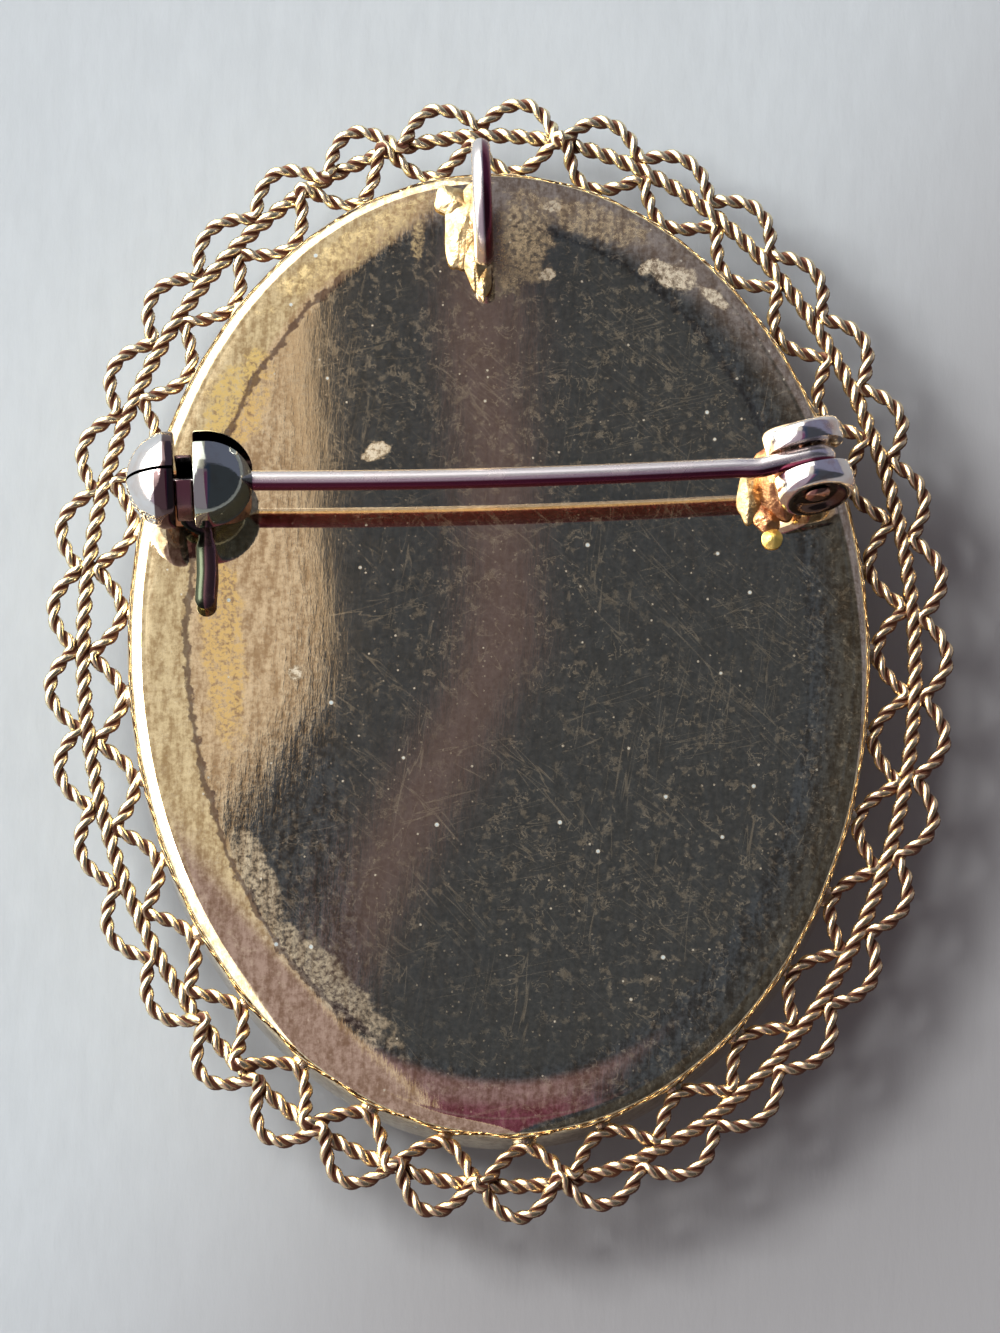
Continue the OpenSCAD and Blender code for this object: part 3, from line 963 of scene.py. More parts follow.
# Share, waves to the right and up in radians a millimetre, and start
PLATE_WAVES = (
    (0.30, 0.42, 0.13, 0.6),
    (0.24, 0.21, -0.36, 2.1),
    (0.20, 0.58, 0.49, 4.0),
    (0.14, -0.83, 0.35, 1.2),
    (0.12, 0.92, 0.88, 5.1),
)


def waves(x: np.ndarray, y: np.ndarray) -> np.ndarray:
    """An uneven surface from -1 to 1, a sum of five long waves across the plate."""
    return sum(share * np.sin(a * x + b * y + start) for share, a, b, start in PLATE_WAVES)


@dataclass
class Cup:
    """The stamped cup: back plate, rounded edge, side wall and the lip over the cameo."""

    oval: Oval
    plate_z: float
    lip_z: float
    edge_r: float = 0.7
    wall_t: float = 0.35
    lip_t: float = 0.3
    lip_reach: float = 1.25
    plate_t: float = 0.4
    cushion_w: float = 2.0
    cushion_drop: float = 0.10
    rim_band: float = 3.2
    lip_r: float = 0.2
    lip_bevel: float = 0.06
    corner: float = 0.3
    dome_x: float = 600.0
    dome_y: float = 1100.0
    unevenness: float = 0.003
    columns: int = 360
    plate_rows: int = 64

    def plate_height(self, flat: np.ndarray, inset: np.ndarray) -> np.ndarray:
        """Height of the polished back: barely domed, and falling near its rounded edge.

        Args:
            flat: The points' x and y.
            inset: Their distance inside the outline.

        Returns:
            Heights, as plate_z - x^2 / 2 Rx - y^2 / 2 Ry - drop (1 - inset / width)^2 +
            unevenness * waves.
        """
        x, y = flat[..., 0], flat[..., 1]
        near = np.clip(1 - (inset - self.edge_r) / self.cushion_w, 0, 1)
        uneven = self.unevenness * waves(x, y) * smooth(inset, 0, 3)
        dome = x**2 / (2 * self.dome_x) + y**2 / (2 * self.dome_y)
        return self.plate_z - dome - self.cushion_drop * near**2 + uneven

    def skin(self) -> Skin:
        """The cup as one closed shell, from the middle of the back round to its inside."""
        shell = Skin()
        heading = np.linspace(0, TAU, self.columns, endpoint=False)[None]
        # Back plate, from near its middle out to the start of its rounded edge
        share = np.linspace(0.02, 1, self.plate_rows)[:, None]
        middle = share[..., None] * self.oval.at(heading, -self.rim_band)
        middle_inset = self.rim_band + (1 - share) * self.oval.half_w * np.ones_like(heading)
        outer_inset = np.linspace(self.rim_band, self.edge_r, 25)[1:, None] * np.ones_like(heading)
        top = np.concatenate([middle, self.oval.at(heading, -outer_inset)])
        inset = np.concatenate([middle_inset, outer_inset])
        back = lifted(top, self.plate_height(top, inset))
        # Rounded edge, wall, lip and the inside of the cup
        turn = np.linspace(0, math.pi / 2, 15)[1:, None]
        edge_out = self.edge_r * (np.sin(turn) - 1)
        edge_z = back[-1, :, 2] + self.edge_r * (np.cos(turn) - 1)
        edge = lifted(self.oval.at(heading, edge_out), edge_z)
        lip_turn = np.linspace(0, math.pi / 2, 6)
        lip_out = self.lip_r * (np.cos(lip_turn) - 1)
        lip = np.stack([lip_out, self.lip_z + self.lip_r * (1 - np.sin(lip_turn))], axis=-1)
        under_z = self.plate_z - self.plate_t
        inside = np.array([
            [-self.lip_reach + self.lip_bevel, self.lip_z],
            [-self.lip_reach, self.lip_z + self.lip_bevel],
            [-self.lip_reach, self.lip_z + self.lip_t],
            [-self.wall_t, self.lip_z + self.lip_t],
            [-self.wall_t, under_z - self.corner],
            [-self.wall_t - self.corner, under_z],
            [-self.lip_reach, under_z],
        ])
        profile = np.concatenate([lip, inside])
        rim = lifted(self.oval.at(heading, profile[:, :1]), profile[:, 1:])
        edge_inset = np.broadcast_to(-edge_out, edge.shape[:2])
        kept = np.concatenate([inset, edge_inset, np.zeros(rim.shape[:2])])
        index = shell.add_points(np.concatenate([back, edge, rim]), inset=kept)
        shell.join(index, closed_columns=True)
        shell.fan(index[0], [0, 0, back[0, :, 2].mean()], flip=True)
        shell.fan(index[-1], [0, 0, under_z])
        return shell


@dataclass
class TwistedWire:
    """A wire of two round strands turned about each other.

    strand_r is a strand's radius over the wire's thickness. The strands lie a little
    into each other, as pressed wire does.
    """

    thickness: float
    pitch: float
    hand: Strand = Strand.LEFT_HANDED
    sides: int = 10
    steps_a_turn: int = 14
    strand_r: float = 0.285
    # Direction of the painted shade, towards the lower right and away from the light
    painted_shade_way: tuple = (0.58, -0.58, -0.57)

    def add(self, skin: Skin, path: np.ndarray) -> None:
        """Adds the wire's two strands round a closed path.

        Each strand's middle is p + d/4 (cos a * side + sin a * over), where a grows by
        a full turn for each pitch. The attribute groove is 0 on the outside of a strand
        and 1 where it faces the other one, for tarnish, and high on the wire's lower right
        side, turned from the light, as painted shade.

        Args:
            skin: The skin that the strands are added to.
            path: The closed path of the wire's middle, in millimetres.
        """
        loop = np.concatenate([path, path[:1]])
        run = np.concatenate([[0], np.cumsum(np.linalg.norm(np.diff(loop, axis=0), axis=-1))])
        turns = round(run[-1] / self.pitch)
        count = turns * self.steps_a_turn
        place = np.linspace(0, run[-1], count, endpoint=False)
        middle = np.stack([np.interp(place, run, loop[:, k]) for k in range(3)], axis=-1)
        ahead = unit(np.roll(middle, -1, axis=0) - np.roll(middle, 1, axis=0))
        side = unit(np.cross(ahead, UP))
        over = np.cross(side, ahead)
        for start in (0, math.pi):
            turn = self.hand.value * TAU * turns * place / run[-1] + start
            radial = np.cos(turn)[:, None] * side + np.sin(turn)[:, None] * over
            strand = middle + self.thickness / 4 * radial
            along = unit(np.roll(strand, -1, axis=0) - np.roll(strand, 1, axis=0))
            across = unit(np.cross(along, radial))
            outward = np.cross(across, along)
            angle = np.linspace(0, TAU, self.sides, endpoint=False)[None, :, None]
            ring = np.cos(angle) * outward[:, None] + np.sin(angle) * across[:, None]
            points = strand[:, None] + self.strand_r * self.thickness * ring
            # Painted shade: how far each point of a strand faces away from the light
            away = 0.25 + 0.75 * (ring @ self.painted_shade_way)
            groove = np.maximum((1 - np.cos(angle[..., 0])) / 2, away)
            index = skin.add_points(points, groove=groove)
            skin.join(index, closed_rows=True, closed_columns=True)


@dataclass
class Border:
    """The wirework border: a ring, a wire of outer scallops and a wire of inner points.

    ring_out and wall_gap are measured outwards from the wall. scallop_foot, scallop_out
    and point_top are measured from the ring, and the overlaps are how much further the
    two zigzags reach across it where they climb over it.
    """

    oval: Oval
    ring_z: float
    ring_out: float = 1.87
    ring_wire: float = 0.66
    zigzag_wire: float = 0.58
    scallop_out: float = 1.36
    scallop_foot: float = 0.40
    point_top: float = 0.36
    overlap: float = 0.55
    point_overlap: float = 0.5
    bent: float = 0.09
    wall_gap: float = 0.29
    dab_half_w: float = 0.42
    dab_half_h: float = 0.24
    dab_reach: float = 0.34
    dab_sunk: float = 0.05
    dab_uneven: float = 0.25
    scallops: int = 37
    points: int = 33
    points_start: float = 0.4
    pitch: float = 1.55
    steps: int = 40
    ring_steps: int = 1200

    @staticmethod
    def crossing(share: np.ndarray) -> np.ndarray:
        """Where the zigzags climb over the ring.

        Args:
            share: Shares of the way round the ring.

        Returns:
            1 at the foot of the oval and in two places near its top, and 0 elsewhere.
        """
        low = smooth(share, 0.47, 0.49) * smooth(share, 0.635, 0.62)
        late = smooth(share, 0.925, 0.94) * smooth(share, 0.995, 0.985)
        early = smooth(share, 0.012, 0.018) * smooth(share, 0.036, 0.03)
        return np.maximum(np.maximum(low, late), early)

    @staticmethod
    def arch(phase: np.ndarray) -> np.ndarray:
        """One full arch from 0 to 1 and back, with a narrow foot at phase 0.

        It is (sin^2 + e)^k with the sine of half a turn, brought to run from 0 to 1.

        Args:
            phase: How many arches along, from any foot.

        Returns:
            The arches' height.
        """
        blunt, full = 0.02, 0.37
        bow = (np.sin(math.pi * phase) ** 2 + blunt) ** full - blunt**full
        return bow / ((1 + blunt) ** full - blunt**full)

    def uneven(self, share: np.ndarray, count: int, seed: float) -> np.ndarray:
        """Small differences between hand-bent arches, from -1 to 1, each one arch long."""
        arch = np.floor(share * count)
        return np.sin(arch * 2.399 + seed) * 0.6 + np.sin(arch * 5.1 + 2 * seed) * 0.4

    def route(
        self, share: np.ndarray, out: Union[float, np.ndarray], z: Union[float, np.ndarray]
    ) -> np.ndarray:
        """Points at shares of the way round the ring, at distances out and heights z."""
        return lifted(self.oval.at(self.oval.headings(share, self.ring_out), out), z)

    def ring(self) -> Skin:
        """The oval ring of twisted wire."""
        skin = Skin()
        share = np.linspace(0, 1, self.ring_steps, endpoint=False)
        path = self.route(share, self.ring_out, self.ring_z)
        TwistedWire(self.ring_wire, self.pitch).add(skin, path)
        return skin

    def scallop_wire(self) -> Skin:
        """The outer wire: round arches whose feet stand on the ring, or cross it."""
        skin = Skin()
        share = np.linspace(0, 1, self.scallops * self.steps, endpoint=False)
        rise = self.arch(share * self.scallops)
        over = self.crossing(share)
        foot = self.ring_out + self.scallop_foot - self.overlap * over
        crown = self.ring_out + self.scallop_out
        crown = crown + self.bent * self.uneven(share, self.scallops, 0.7)
        climb = over * (1 - rise) ** 2 * 0.5 * (self.ring_wire + self.zigzag_wire)
        path = self.route(share, foot + (crown - foot) * rise, self.ring_z + climb)
        TwistedWire(self.zigzag_wire, self.pitch).add(skin, path)
        return skin

    def point_wire(self) -> Skin:
        """The inner wire: round bottoms soldered to the wall, narrow tops at the ring."""
        skin = Skin()
        share = np.linspace(0, 1, self.points * self.steps, endpoint=False)
        rise = 1 - self.arch(share * self.points + 0.5)
        here = share + self.points_start / self.points
        over = self.crossing(here)
        top = self.ring_out - self.point_top + self.point_overlap * over
        climb = over * rise**2 * 0.5 * (self.ring_wire + self.zigzag_wire)
        out = self.wall_gap + (top - self.wall_gap) * rise
        path = self.route(here, out, self.ring_z + climb)
        TwistedWire(self.zigzag_wire, self.pitch).add(skin, path)
        return skin

    def dabs(self) -> Skin:
        """Dabs of solder where the inner wire's bottoms meet the wall, as flat round drops."""
        skin = Skin()
        share = (np.arange(self.points) + self.points_start) / self.points
        heading = self.oval.headings(share, self.ring_out)
        for k, facing in enumerate(heading):
            size = 1 + self.dab_uneven * math.sin(2.4 * k + 1)
            base = np.append(self.oval.at(np.array(facing), -self.dab_sunk), self.ring_z)
            along = np.array([math.cos(facing), -math.sin(facing), 0.0])
            outwards = np.array([math.sin(facing), math.cos(facing), 0.0])
            outwards *= size * self.dab_reach
            turn = np.linspace(0, TAU, 14, endpoint=False)[None, :, None]
            bulge = np.linspace(0, math.pi / 2, 6)[:-1, None, None]
            rim = self.dab_half_w * np.cos(turn) * along + self.dab_half_h * np.sin(turn) * UP
            index = skin.add_points(base + size * np.cos(bulge) * rim + np.sin(bulge) * outwards)
            skin.join(index, closed_columns=True)
            skin.fan(index[0], base, flip=True)
            skin.fan(index[-1], base + outwards)
        return skin


def slotted_round(
    stations: np.ndarray,
    half_slot: float,
    centre: np.ndarray,
    lean_deg: float = 0,
    steps: int = 48,
) -> Skin:
    """A round form along X with a slot that is open upwards and runs its whole length.

    Each section is the circle's arc from one lip of the slot round to the other, then
    the slot's two straight walls and the half circle at its bottom. The attribute facing
    is 1 inside the slot, where the plating paints shade.

    Args:
        stations: Rows of x and radius, both in millimetres.
        half_slot: Half the slot's width.
        centre: The middle of the form.
        lean_deg: How far the slot leans towards +Y.
        steps: The number of points on the arc.

    Returns:
        The closed skin.
    """
    skin = Skin()
    radius = stations[:, 1:2]
    lip = np.arcsin(half_slot / radius)
    outer_turn = lip + (TAU - 2 * lip) * np.linspace(0, 1, steps)[None]
    outer = np.stack([radius * np.sin(outer_turn), radius * np.cos(outer_turn)], axis=-1)
    wall = steps // 3
    down = np.linspace(1, 0, wall)[None, 1:, None]
    top = radius[:, :, None] * np.cos(lip)[:, :, None]
    height = (down * top)[..., 0]
    left = np.stack([np.full_like(height, -half_slot), height], axis=-1)
    right = np.stack([np.full_like(height, half_slot), height], axis=-1)[:, ::-1]
    bend = np.linspace(math.pi, 0, steps - 2 * (wall - 1))[1:-1]
    bottom = np.stack([half_slot * np.cos(bend), -half_slot * np.sin(bend)], axis=-1)
    bottom = np.broadcast_to(bottom, (len(stations), *bottom.shape))
    inner = np.concatenate([left, bottom, right], axis=1)
    section = np.concatenate([outer, inner], axis=1)
    cos, sin = math.cos(math.radians(lean_deg)), math.sin(math.radians(lean_deg))
    section = section @ np.array([[cos, -sin], [sin, cos]])
    along = np.broadcast_to(stations[:, :1, None], (*section.shape[:2], 1))
    # Painted shade inside the slot: facing is 1 on its walls and bottom
    inside = np.concatenate([np.zeros(steps), np.ones(section.shape[1] - steps)])
    index = skin.add_points(centre + np.concatenate([along, section], axis=-1), facing=inside)
    skin.join(index, closed_columns=True)
    for row, flip in ((index[0], True), (index[-1], False)):
        arc, slot = row[:steps], row[steps:][::-1]
        slot = np.concatenate([arc[:1], slot, arc[-1:]])
        cells = np.stack([arc[1:-2], arc[2:-1], slot[2:-1], slot[1:-2]], axis=-1)
        ends = np.array([[arc[0], arc[1], slot[1]], [arc[-2], arc[-1], slot[-2]]])
        skin.quads.append(cells[:, ::-1] if flip else cells)
        skin.triangles.append(ends[:, ::-1] if flip else ends)
    return skin


@dataclass
class Catch:
    """The safety catch: two domed cheeks on a foot, and the lever that turns between them."""

    middle: np.ndarray
    plate_z: float
    radius: float = 2.02
    slot: float = 0.80
    slot_mid: float = 0.135
    outer_l: float = 2.02
    outer_barrel: float = 0.5
    inner_l: float = 2.5
    inner_barrel: float = 0.6
    throat: float = 0.94
    slit: float = 0.14
    slot_lean_deg: float = 48
    hub_r: float = 1.72
    hub_gap: float = 0.06
    sleeve_r: float = 0.95
    tab_reach: float = 4.55
    tab_w: float = 0.84
    tab_t: float = 0.34
    tab_root: float = 0.95
    tab_low: float = 1.25
    tab_step: float = 0.8
    tab_aside: float = 0.75
    # Width of the painted shade strip beside the lever, and how much it widens at the lower side
    shade_strip: float = 0.32
    shade_widening: float = 0.42
    foot_x: float = 0.72
    foot_half_x: float = 1.55
    foot_half_y: float = 0.72
    foot_spread: float = 0.5
    foot_sunk: float = 0.1
    pin_past: float = 0.35

    def dome(self, length: float, barrel_l: float, slot: float, lean_deg: float, way: int) -> Skin:
        """One cheek: a short barrel and a domed end, as a part of a ball.

        Args:
            length: From the cheek's flat face to the top of its dome.
            barrel_l: How much of that the barrel takes.
            slot: The width of the slot in its top.
            lean_deg: How far the slot leans towards the bail.
            way: 1 towards the pin, -1 away from it.

        Returns:
            The cheek's skin.
        """
        half_slot = slot / 2
        cap = length - barrel_l
        ball = (self.radius**2 + cap**2) / (2 * cap)
        least = math.asin(1.25 * half_slot / ball)
        most = math.asin(self.radius / ball)
        turn = np.linspace(most, least, 22)
        cap_x = length - ball + ball * np.cos(turn)
        edge = np.array([[0, -0.1], [0.03, -0.03], [0.1, 0]]) + [0, self.radius]
        stations = np.concatenate([edge, np.stack([cap_x, ball * np.sin(turn)], axis=-1)])
        stations[:, 0] = self.slot_mid + way * (stations[:, 0] + self.slot / 2)
        return slotted_round(stations, half_slot, self.middle, lean_deg)

    def outer_cheek(self) -> Skin:
        """The cheek past the pin's point, with a fine slit and painted shade beside the lever."""
        skin = self.dome(self.outer_l, self.outer_barrel, self.slit, 0, -1)
        # The painted shade strip beside the lever is wider at the lower side
        points = skin.points[0] - self.middle
        strip = self.shade_strip + self.shade_widening * smooth(points[:, 1], 0.4, -0.4)
        depth = self.slot_mid - self.slot / 2 - points[:, 0]
        facing = skin.marks["facing"][0][1]
        skin.mark("facing", np.maximum(facing, smooth(depth - strip, 0.07, -0.07)))
        return skin

    def inner_cheek(self) -> Skin:
        """The cheek that the pin lies in, with a wide slot that leans to the bail's side."""
        return self.dome(self.inner_l, self.inner_barrel, self.throat, self.slot_lean_deg, 1)

    def pin_end(self) -> np.ndarray:
        """Where the pin's point lies, a little way into the outer cheek's slot."""
        return self.middle + [self.slot_mid - self.slot / 2 - self.pin_past, 0, 0]

    def foot(self) -> Skin:
        """The foot: a waist that spreads out to the plate under both cheeks."""
        skin = Skin()
        top = self.middle[2] - 0.75 * self.radius
        height = np.linspace(0, 1, 12)[:, None]
        angle = np.linspace(0, TAU, 40, endpoint=False)[None]
        spread = self.foot_spread * (1 - height) ** 3
        corner = (np.abs(np.cos(angle)) ** 4 + np.abs(np.sin(angle)) ** 4) ** -0.25
        mid_x, mid_y = self.middle[0] + self.foot_x, self.middle[1]
        x = mid_x + (self.foot_half_x + 1.1 * spread) * corner * np.cos(angle)
        y = mid_y + (self.foot_half_y + spread) * corner * np.sin(angle)
        bottom = self.plate_z - self.foot_sunk
        z = bottom + height * (top - bottom) + 0 * angle
        index = skin.add_points(np.stack([x, y, z], axis=-1))
        skin.join(index, closed_columns=True)
        skin.fan(index[0], [mid_x, mid_y, bottom], flip=True)
        skin.fan(index[-1], [mid_x, mid_y, top])
        return skin

    def hub(self) -> Skin:
        """The lever's hub: one lobe towards the thumb tab, small on the bail's side."""
        half, edge = self.slot / 2 - self.hub_gap, 0.05
        stations = np.array([[-half, -edge], [edge - half, 0], [half - edge, 0], [half, -edge]])
        stations += [self.slot_mid, self.hub_r]
        hub = slotted_round(stations, self.throat / 2, self.middle)
        # Pull the side towards the bail in to the sleeve's radius
        side = hub.points[0] - self.middle
        reach = np.hypot(side[..., 1], side[..., 2])
        turn = np.arctan2(side[..., 1], side[..., 2])
        pull = smooth(turn, 0.25, 0.9) * smooth(turn, 2.9, 2.2)
        least = np.minimum(reach, self.sleeve_r)
        outer = reach > self.throat / 2 + 0.02
        scale = np.where(outer, 1 + pull * (least / reach - 1), 1.0)
        side[..., 1] *= scale
        side[..., 2] *= scale
        hub.points[0] = side + self.middle
        return hub

    def tab(self) -> Skin:
        """The thumb tab: a strip that leaves the slot low down and runs out beside it."""
        skin = Skin()
        out = np.linspace(self.tab_root, self.tab_reach, 48)
        aside = self.tab_aside * smooth(out, 1.2, 1.75) - 0.1 * smooth(out, 3.2, 4.6)
        side = self.slot_mid + aside
        drop = self.tab_low + self.tab_step * smooth(out, 0.7, 1.7)
        drop = drop + 0.05 * np.maximum(out - 2, 0)
        path = np.stack([side, -out, -drop], axis=-1)
        end = unit(path[-1] - path[-2])
        turn = np.linspace(0, math.pi / 2, 8)[1:-1]
        tip = path[-1] + (self.tab_w / 2 * np.sin(turn))[:, None] * end
        wide = self.tab_w / 2 * (0.7 + 0.3 * smooth(out, 1.9, 2.4))
        radius = np.concatenate([wide, self.tab_w / 2 * np.cos(turn)])
        whole = np.concatenate([path, tip]) + self.middle
        # The side facing -X gets painted shade, dimming its reflection of the bright left
        outwards = np.array([-1.0, 0.0, 0.0])
        skin.tube(whole, radius, 20, outwards, flatten=self.tab_t / self.tab_w)
        return skin


@dataclass
class Hinge:
    """The rivet hinge: two thick round cheeks on a foot, with the rivet through them."""

    middle: np.ndarray
    axis: np.ndarray
    plate_z: float
    cheek_r: float = 1.65
    cheek_t: float = 1.2
    slot: float = 0.99
    bore_r: float = 0.33
    dish_r: float = 1.3
    dish: float = 0.25
    head_r: float = 0.6
    head_h: float = 0.3
    head_sunk: float = 0.02
    shaft_r: float = 0.3
    round_r: float = 0.42
    splay: float = 0.28
    sides: int = 72

    def cheek(self, way: int) -> Skin:
        """One cheek, a ring with rounded outer edges and a dished face that leans outwards, with shade
        painted in the dish.

        Args:
            way: 1 for the cheek nearer the bail, -1 for the other.

        Returns:
            Its skin.
        """
        turn = np.linspace(0, math.pi / 2, 9)
        rounding = self.round_r * (1 - np.stack([np.cos(turn), np.sin(turn)], axis=-1))
        outer = [self.cheek_r, self.cheek_t] - rounding
        bowl = np.linspace(0, 1, 10)
        sunk = (1 - np.cos(np.minimum(math.pi * bowl, math.pi / 2))) ** 0.8
        bowl_r = self.dish_r + (self.bore_r - self.dish_r) * bowl
        face = np.stack([bowl_r, self.cheek_t - self.dish * sunk], axis=-1)
        edge = np.array([[-0.12, 0.0], [-0.03, 0.03], [0.0, 0.12]]) + [self.cheek_r, 0]
        inner = np.concatenate([[[self.bore_r, 0.0]], edge])
        profile = np.concatenate([outer, face, inner])
        profile[:, 1] = way * (profile[:, 1] + self.slot / 2)
        # Painted shade in the dished face
        dished = np.repeat([0.0, 1.0, 0.0], [len(outer), len(face), len(inner)])
        skin = Skin()
        skin.lathe(profile, self.middle, self.axis, self.sides, closed=True)
        skin.mark("facing", np.repeat(dished, self.sides))
        # Thicker at the foot than at the top, so the face looks a little upwards
        points = skin.points[0] - self.middle
        off = points @ self.axis - way * self.slot / 2
        points -= (self.splay * points[:, 2] / self.cheek_r * off)[:, None] * self.axis
        skin.points[0] = points + self.middle
        return skin

    def rivet(self) -> Skin:
        """The rivet, a shaft with a low domed head in each dish."""
        seat = self.slot / 2 + self.cheek_t - self.dish - self.head_sunk
        turn = np.linspace(0, math.pi / 2, 9)
        dome = np.stack([self.head_r * np.sin(turn), seat + self.head_h * np.cos(turn)], axis=-1)
        half = np.concatenate([dome, [[self.shaft_r, seat]]])
        profile = np.concatenate([half, half[::-1] * [1, -1]])
        skin = Skin()
        skin.lathe(profile, self.middle, self.axis, 40, closed=False)
        return skin


@dataclass
class PinWire:
    """The pin: an eye round the rivet, the stem with its bend and bow, and the ground point."""

    rivet: np.ndarray
    axis: np.ndarray
    point: np.ndarray
    wire: float = 0.83
    eye_r: float = 1.15
    knee_l: float = 1.85
    tip_l: float = 3.2
    tip_r: float = 0.03
    bow_side: float = 0.25
    bow_up: float = 0.10
    sides: int = 28

    def path(self) -> np.ndarray:
        """The wire's middle line: three quarters round the rivet, over it and on to the catch.

        Returns:
            Points in millimetres, closer together on the eye.
        """
        towards = np.array([-self.axis[1], self.axis[0], 0.0])
        loop_r = self.eye_r - self.wire / 2
        turn = np.linspace(-0.02, -1.5 * math.pi, 60)[:, None]
        eye = self.rivet + loop_r * (np.cos(turn) * towards + np.sin(turn) * UP)
        top = self.rivet + loop_r * UP
        knee = top + self.knee_l * towards
        over = top + np.linspace(0.08, 0.72, 8)[:, None] * (knee - top)
        share = np.linspace(0, 1, 120)[:, None]
        bow = np.sin(math.pi * share) * np.array([0, -self.bow_side, self.bow_up])
        stem = knee + share * (self.point - knee) + bow
        # Goes on from the eye for a twentieth of its length, and bends to the catch there
        onwards = knee + share * np.linalg.norm(self.point - knee) * towards * 0.6
        ease = smooth(share, 0, 0.05)
        stem = (1 - ease) * onwards + ease * stem
        return np.concatenate([eye, over, stem[1:]])

    def skin(self) -> Skin:
        """The wire round its path, thinning over the ground point, with painted shade on its lower
        side.
        """
        path = self.path()
        run = np.concatenate([[0], np.cumsum(np.linalg.norm(np.diff(path, axis=0), axis=-1))])
        left = run[-1] - run
        radius = self.wire / 2 * np.clip(left / self.tip_l, 0, 1) ** 0.85
        skin = Skin()
        up = np.broadcast_to(self.axis, path.shape)
        # Painted shade on the side that faces down and towards -Y
        pin_shade_way = np.array([0.0, -0.94, -0.34])
        skin.tube(path, np.maximum(radius, self.tip_r), self.sides, pin_shade_way, up)
        return skin


@dataclass
class Bail:
    """The upright ring at the top, soldered by its foot."""

    middle: np.ndarray
    bore_r: float = 1.85
    wire: float = 0.8
    sides: int = 96

    def skin(self) -> Skin:
        """A ring whose section is flat on the inside and full and round on the outside."""
        half = self.wire / 2
        turn = np.linspace(-math.pi / 2, math.pi / 2, 17)
        bulge = np.abs(np.cos(turn)) ** 0.85
        outer = np.stack([self.bore_r + half + half * bulge, half * np.sin(turn)], axis=-1)
        inner = [self.bore_r, 0] + np.array([
            [0.05, half],
            [0, half - 0.08],
            [0, -half + 0.08],
            [0.05, -half],
        ])
        profile = np.concatenate([outer, inner])
        skin = Skin()
        skin.lathe(profile, self.middle, np.array([1.0, 0, 0]), self.sides, closed=True)
        # Painted shade on the ring's +X half, away from the light
        skin.mark("facing", np.repeat(profile[:, 1] / half, self.sides))
        return skin


@dataclass
class Heap:
    """A lumpy run of solder that lies on the plate."""

    x: float
    y: float
    half_w: float
    half_h: float
    height: float
    turn_deg: float = 0.0
    lumps: float = 0.25
    seed: float = 0.0
    taper: float = 0.0
    sunk: float = 0.03

    def add(self, skin: Skin, plate_z: float) -> None:
        """Adds the heap: height (1 - r^2)^1.3 over an oval with an uneven edge.

        Args:
            skin: The skin that it is added to.
            plate_z: The height of the plate that it lies on.
        """
        ring = np.linspace(1, 0.03, 26)[:, None]
        angle = np.linspace(0, TAU, 48, endpoint=False)[None]
        wavy = 0.6 * np.sin(2 * angle + self.seed) + 0.4 * np.sin(5 * angle + 3 * self.seed)
        edge = 1 + self.lumps * wavy
        north = self.half_h * edge * ring * np.sin(angle)
        east = self.half_w * edge * ring * np.cos(angle) * (1 + self.taper * north / self.half_h)
        turn = math.radians(self.turn_deg)
        x = self.x + east * math.cos(turn) - north * math.sin(turn)
        y = self.y + east * math.sin(turn) + north * math.cos(turn)
        uneven = 1 + self.lumps * np.sin(3.2 * x + self.seed) * np.sin(3.6 * y + 2 * self.seed)
        bottom = plate_z - self.sunk
        z = bottom + (self.height + self.sunk) * (1 - ring**2) ** 1.3 * uneven
        index = skin.add_points(np.stack([x, y, z], axis=-1))
        skin.join(index, closed_columns=True)
        skin.fan(index[0], [self.x, self.y, bottom], flip=True)
        skin.fan(index[-1], [self.x, self.y, float(z[-1].mean())])


# At the bail's foot and left of the hinge
BRIGHT_RUNS = (
    Heap(-0.78, 18.1, 0.85, 2.0, 0.36, -8, 0.2, 0.4, 0.35),
    Heap(-0.42, 16.5, 0.50, 1.5, 0.26, 4, 0.2, 2.2, 0.6),
    Heap(-1.25, 19.2, 0.75, 0.75, 0.26, 30, 0.2, 4.1),
    Heap(-0.10, 15.6, 0.32, 0.8, 0.15, 0, 0.2, 1.0, 0.5),
    Heap(10.62, 5.9, 0.52, 1.1, 0.34, -8, 0.15, 3.1),
)
# Under the hinge
BURNT_RUNS = (
    Heap(11.75, 6.5, 0.85, 1.75, 0.75, 14, 0.12, 0.8),
    Heap(11.3, 5.0, 0.5, 0.7, 0.2, 20, 0.15, 2.0),
)
# One round drop below the hinge
BEAD = (Heap(11.5, 4.1, 0.44, 0.44, 0.26, 0, 0.03, 0.2),)


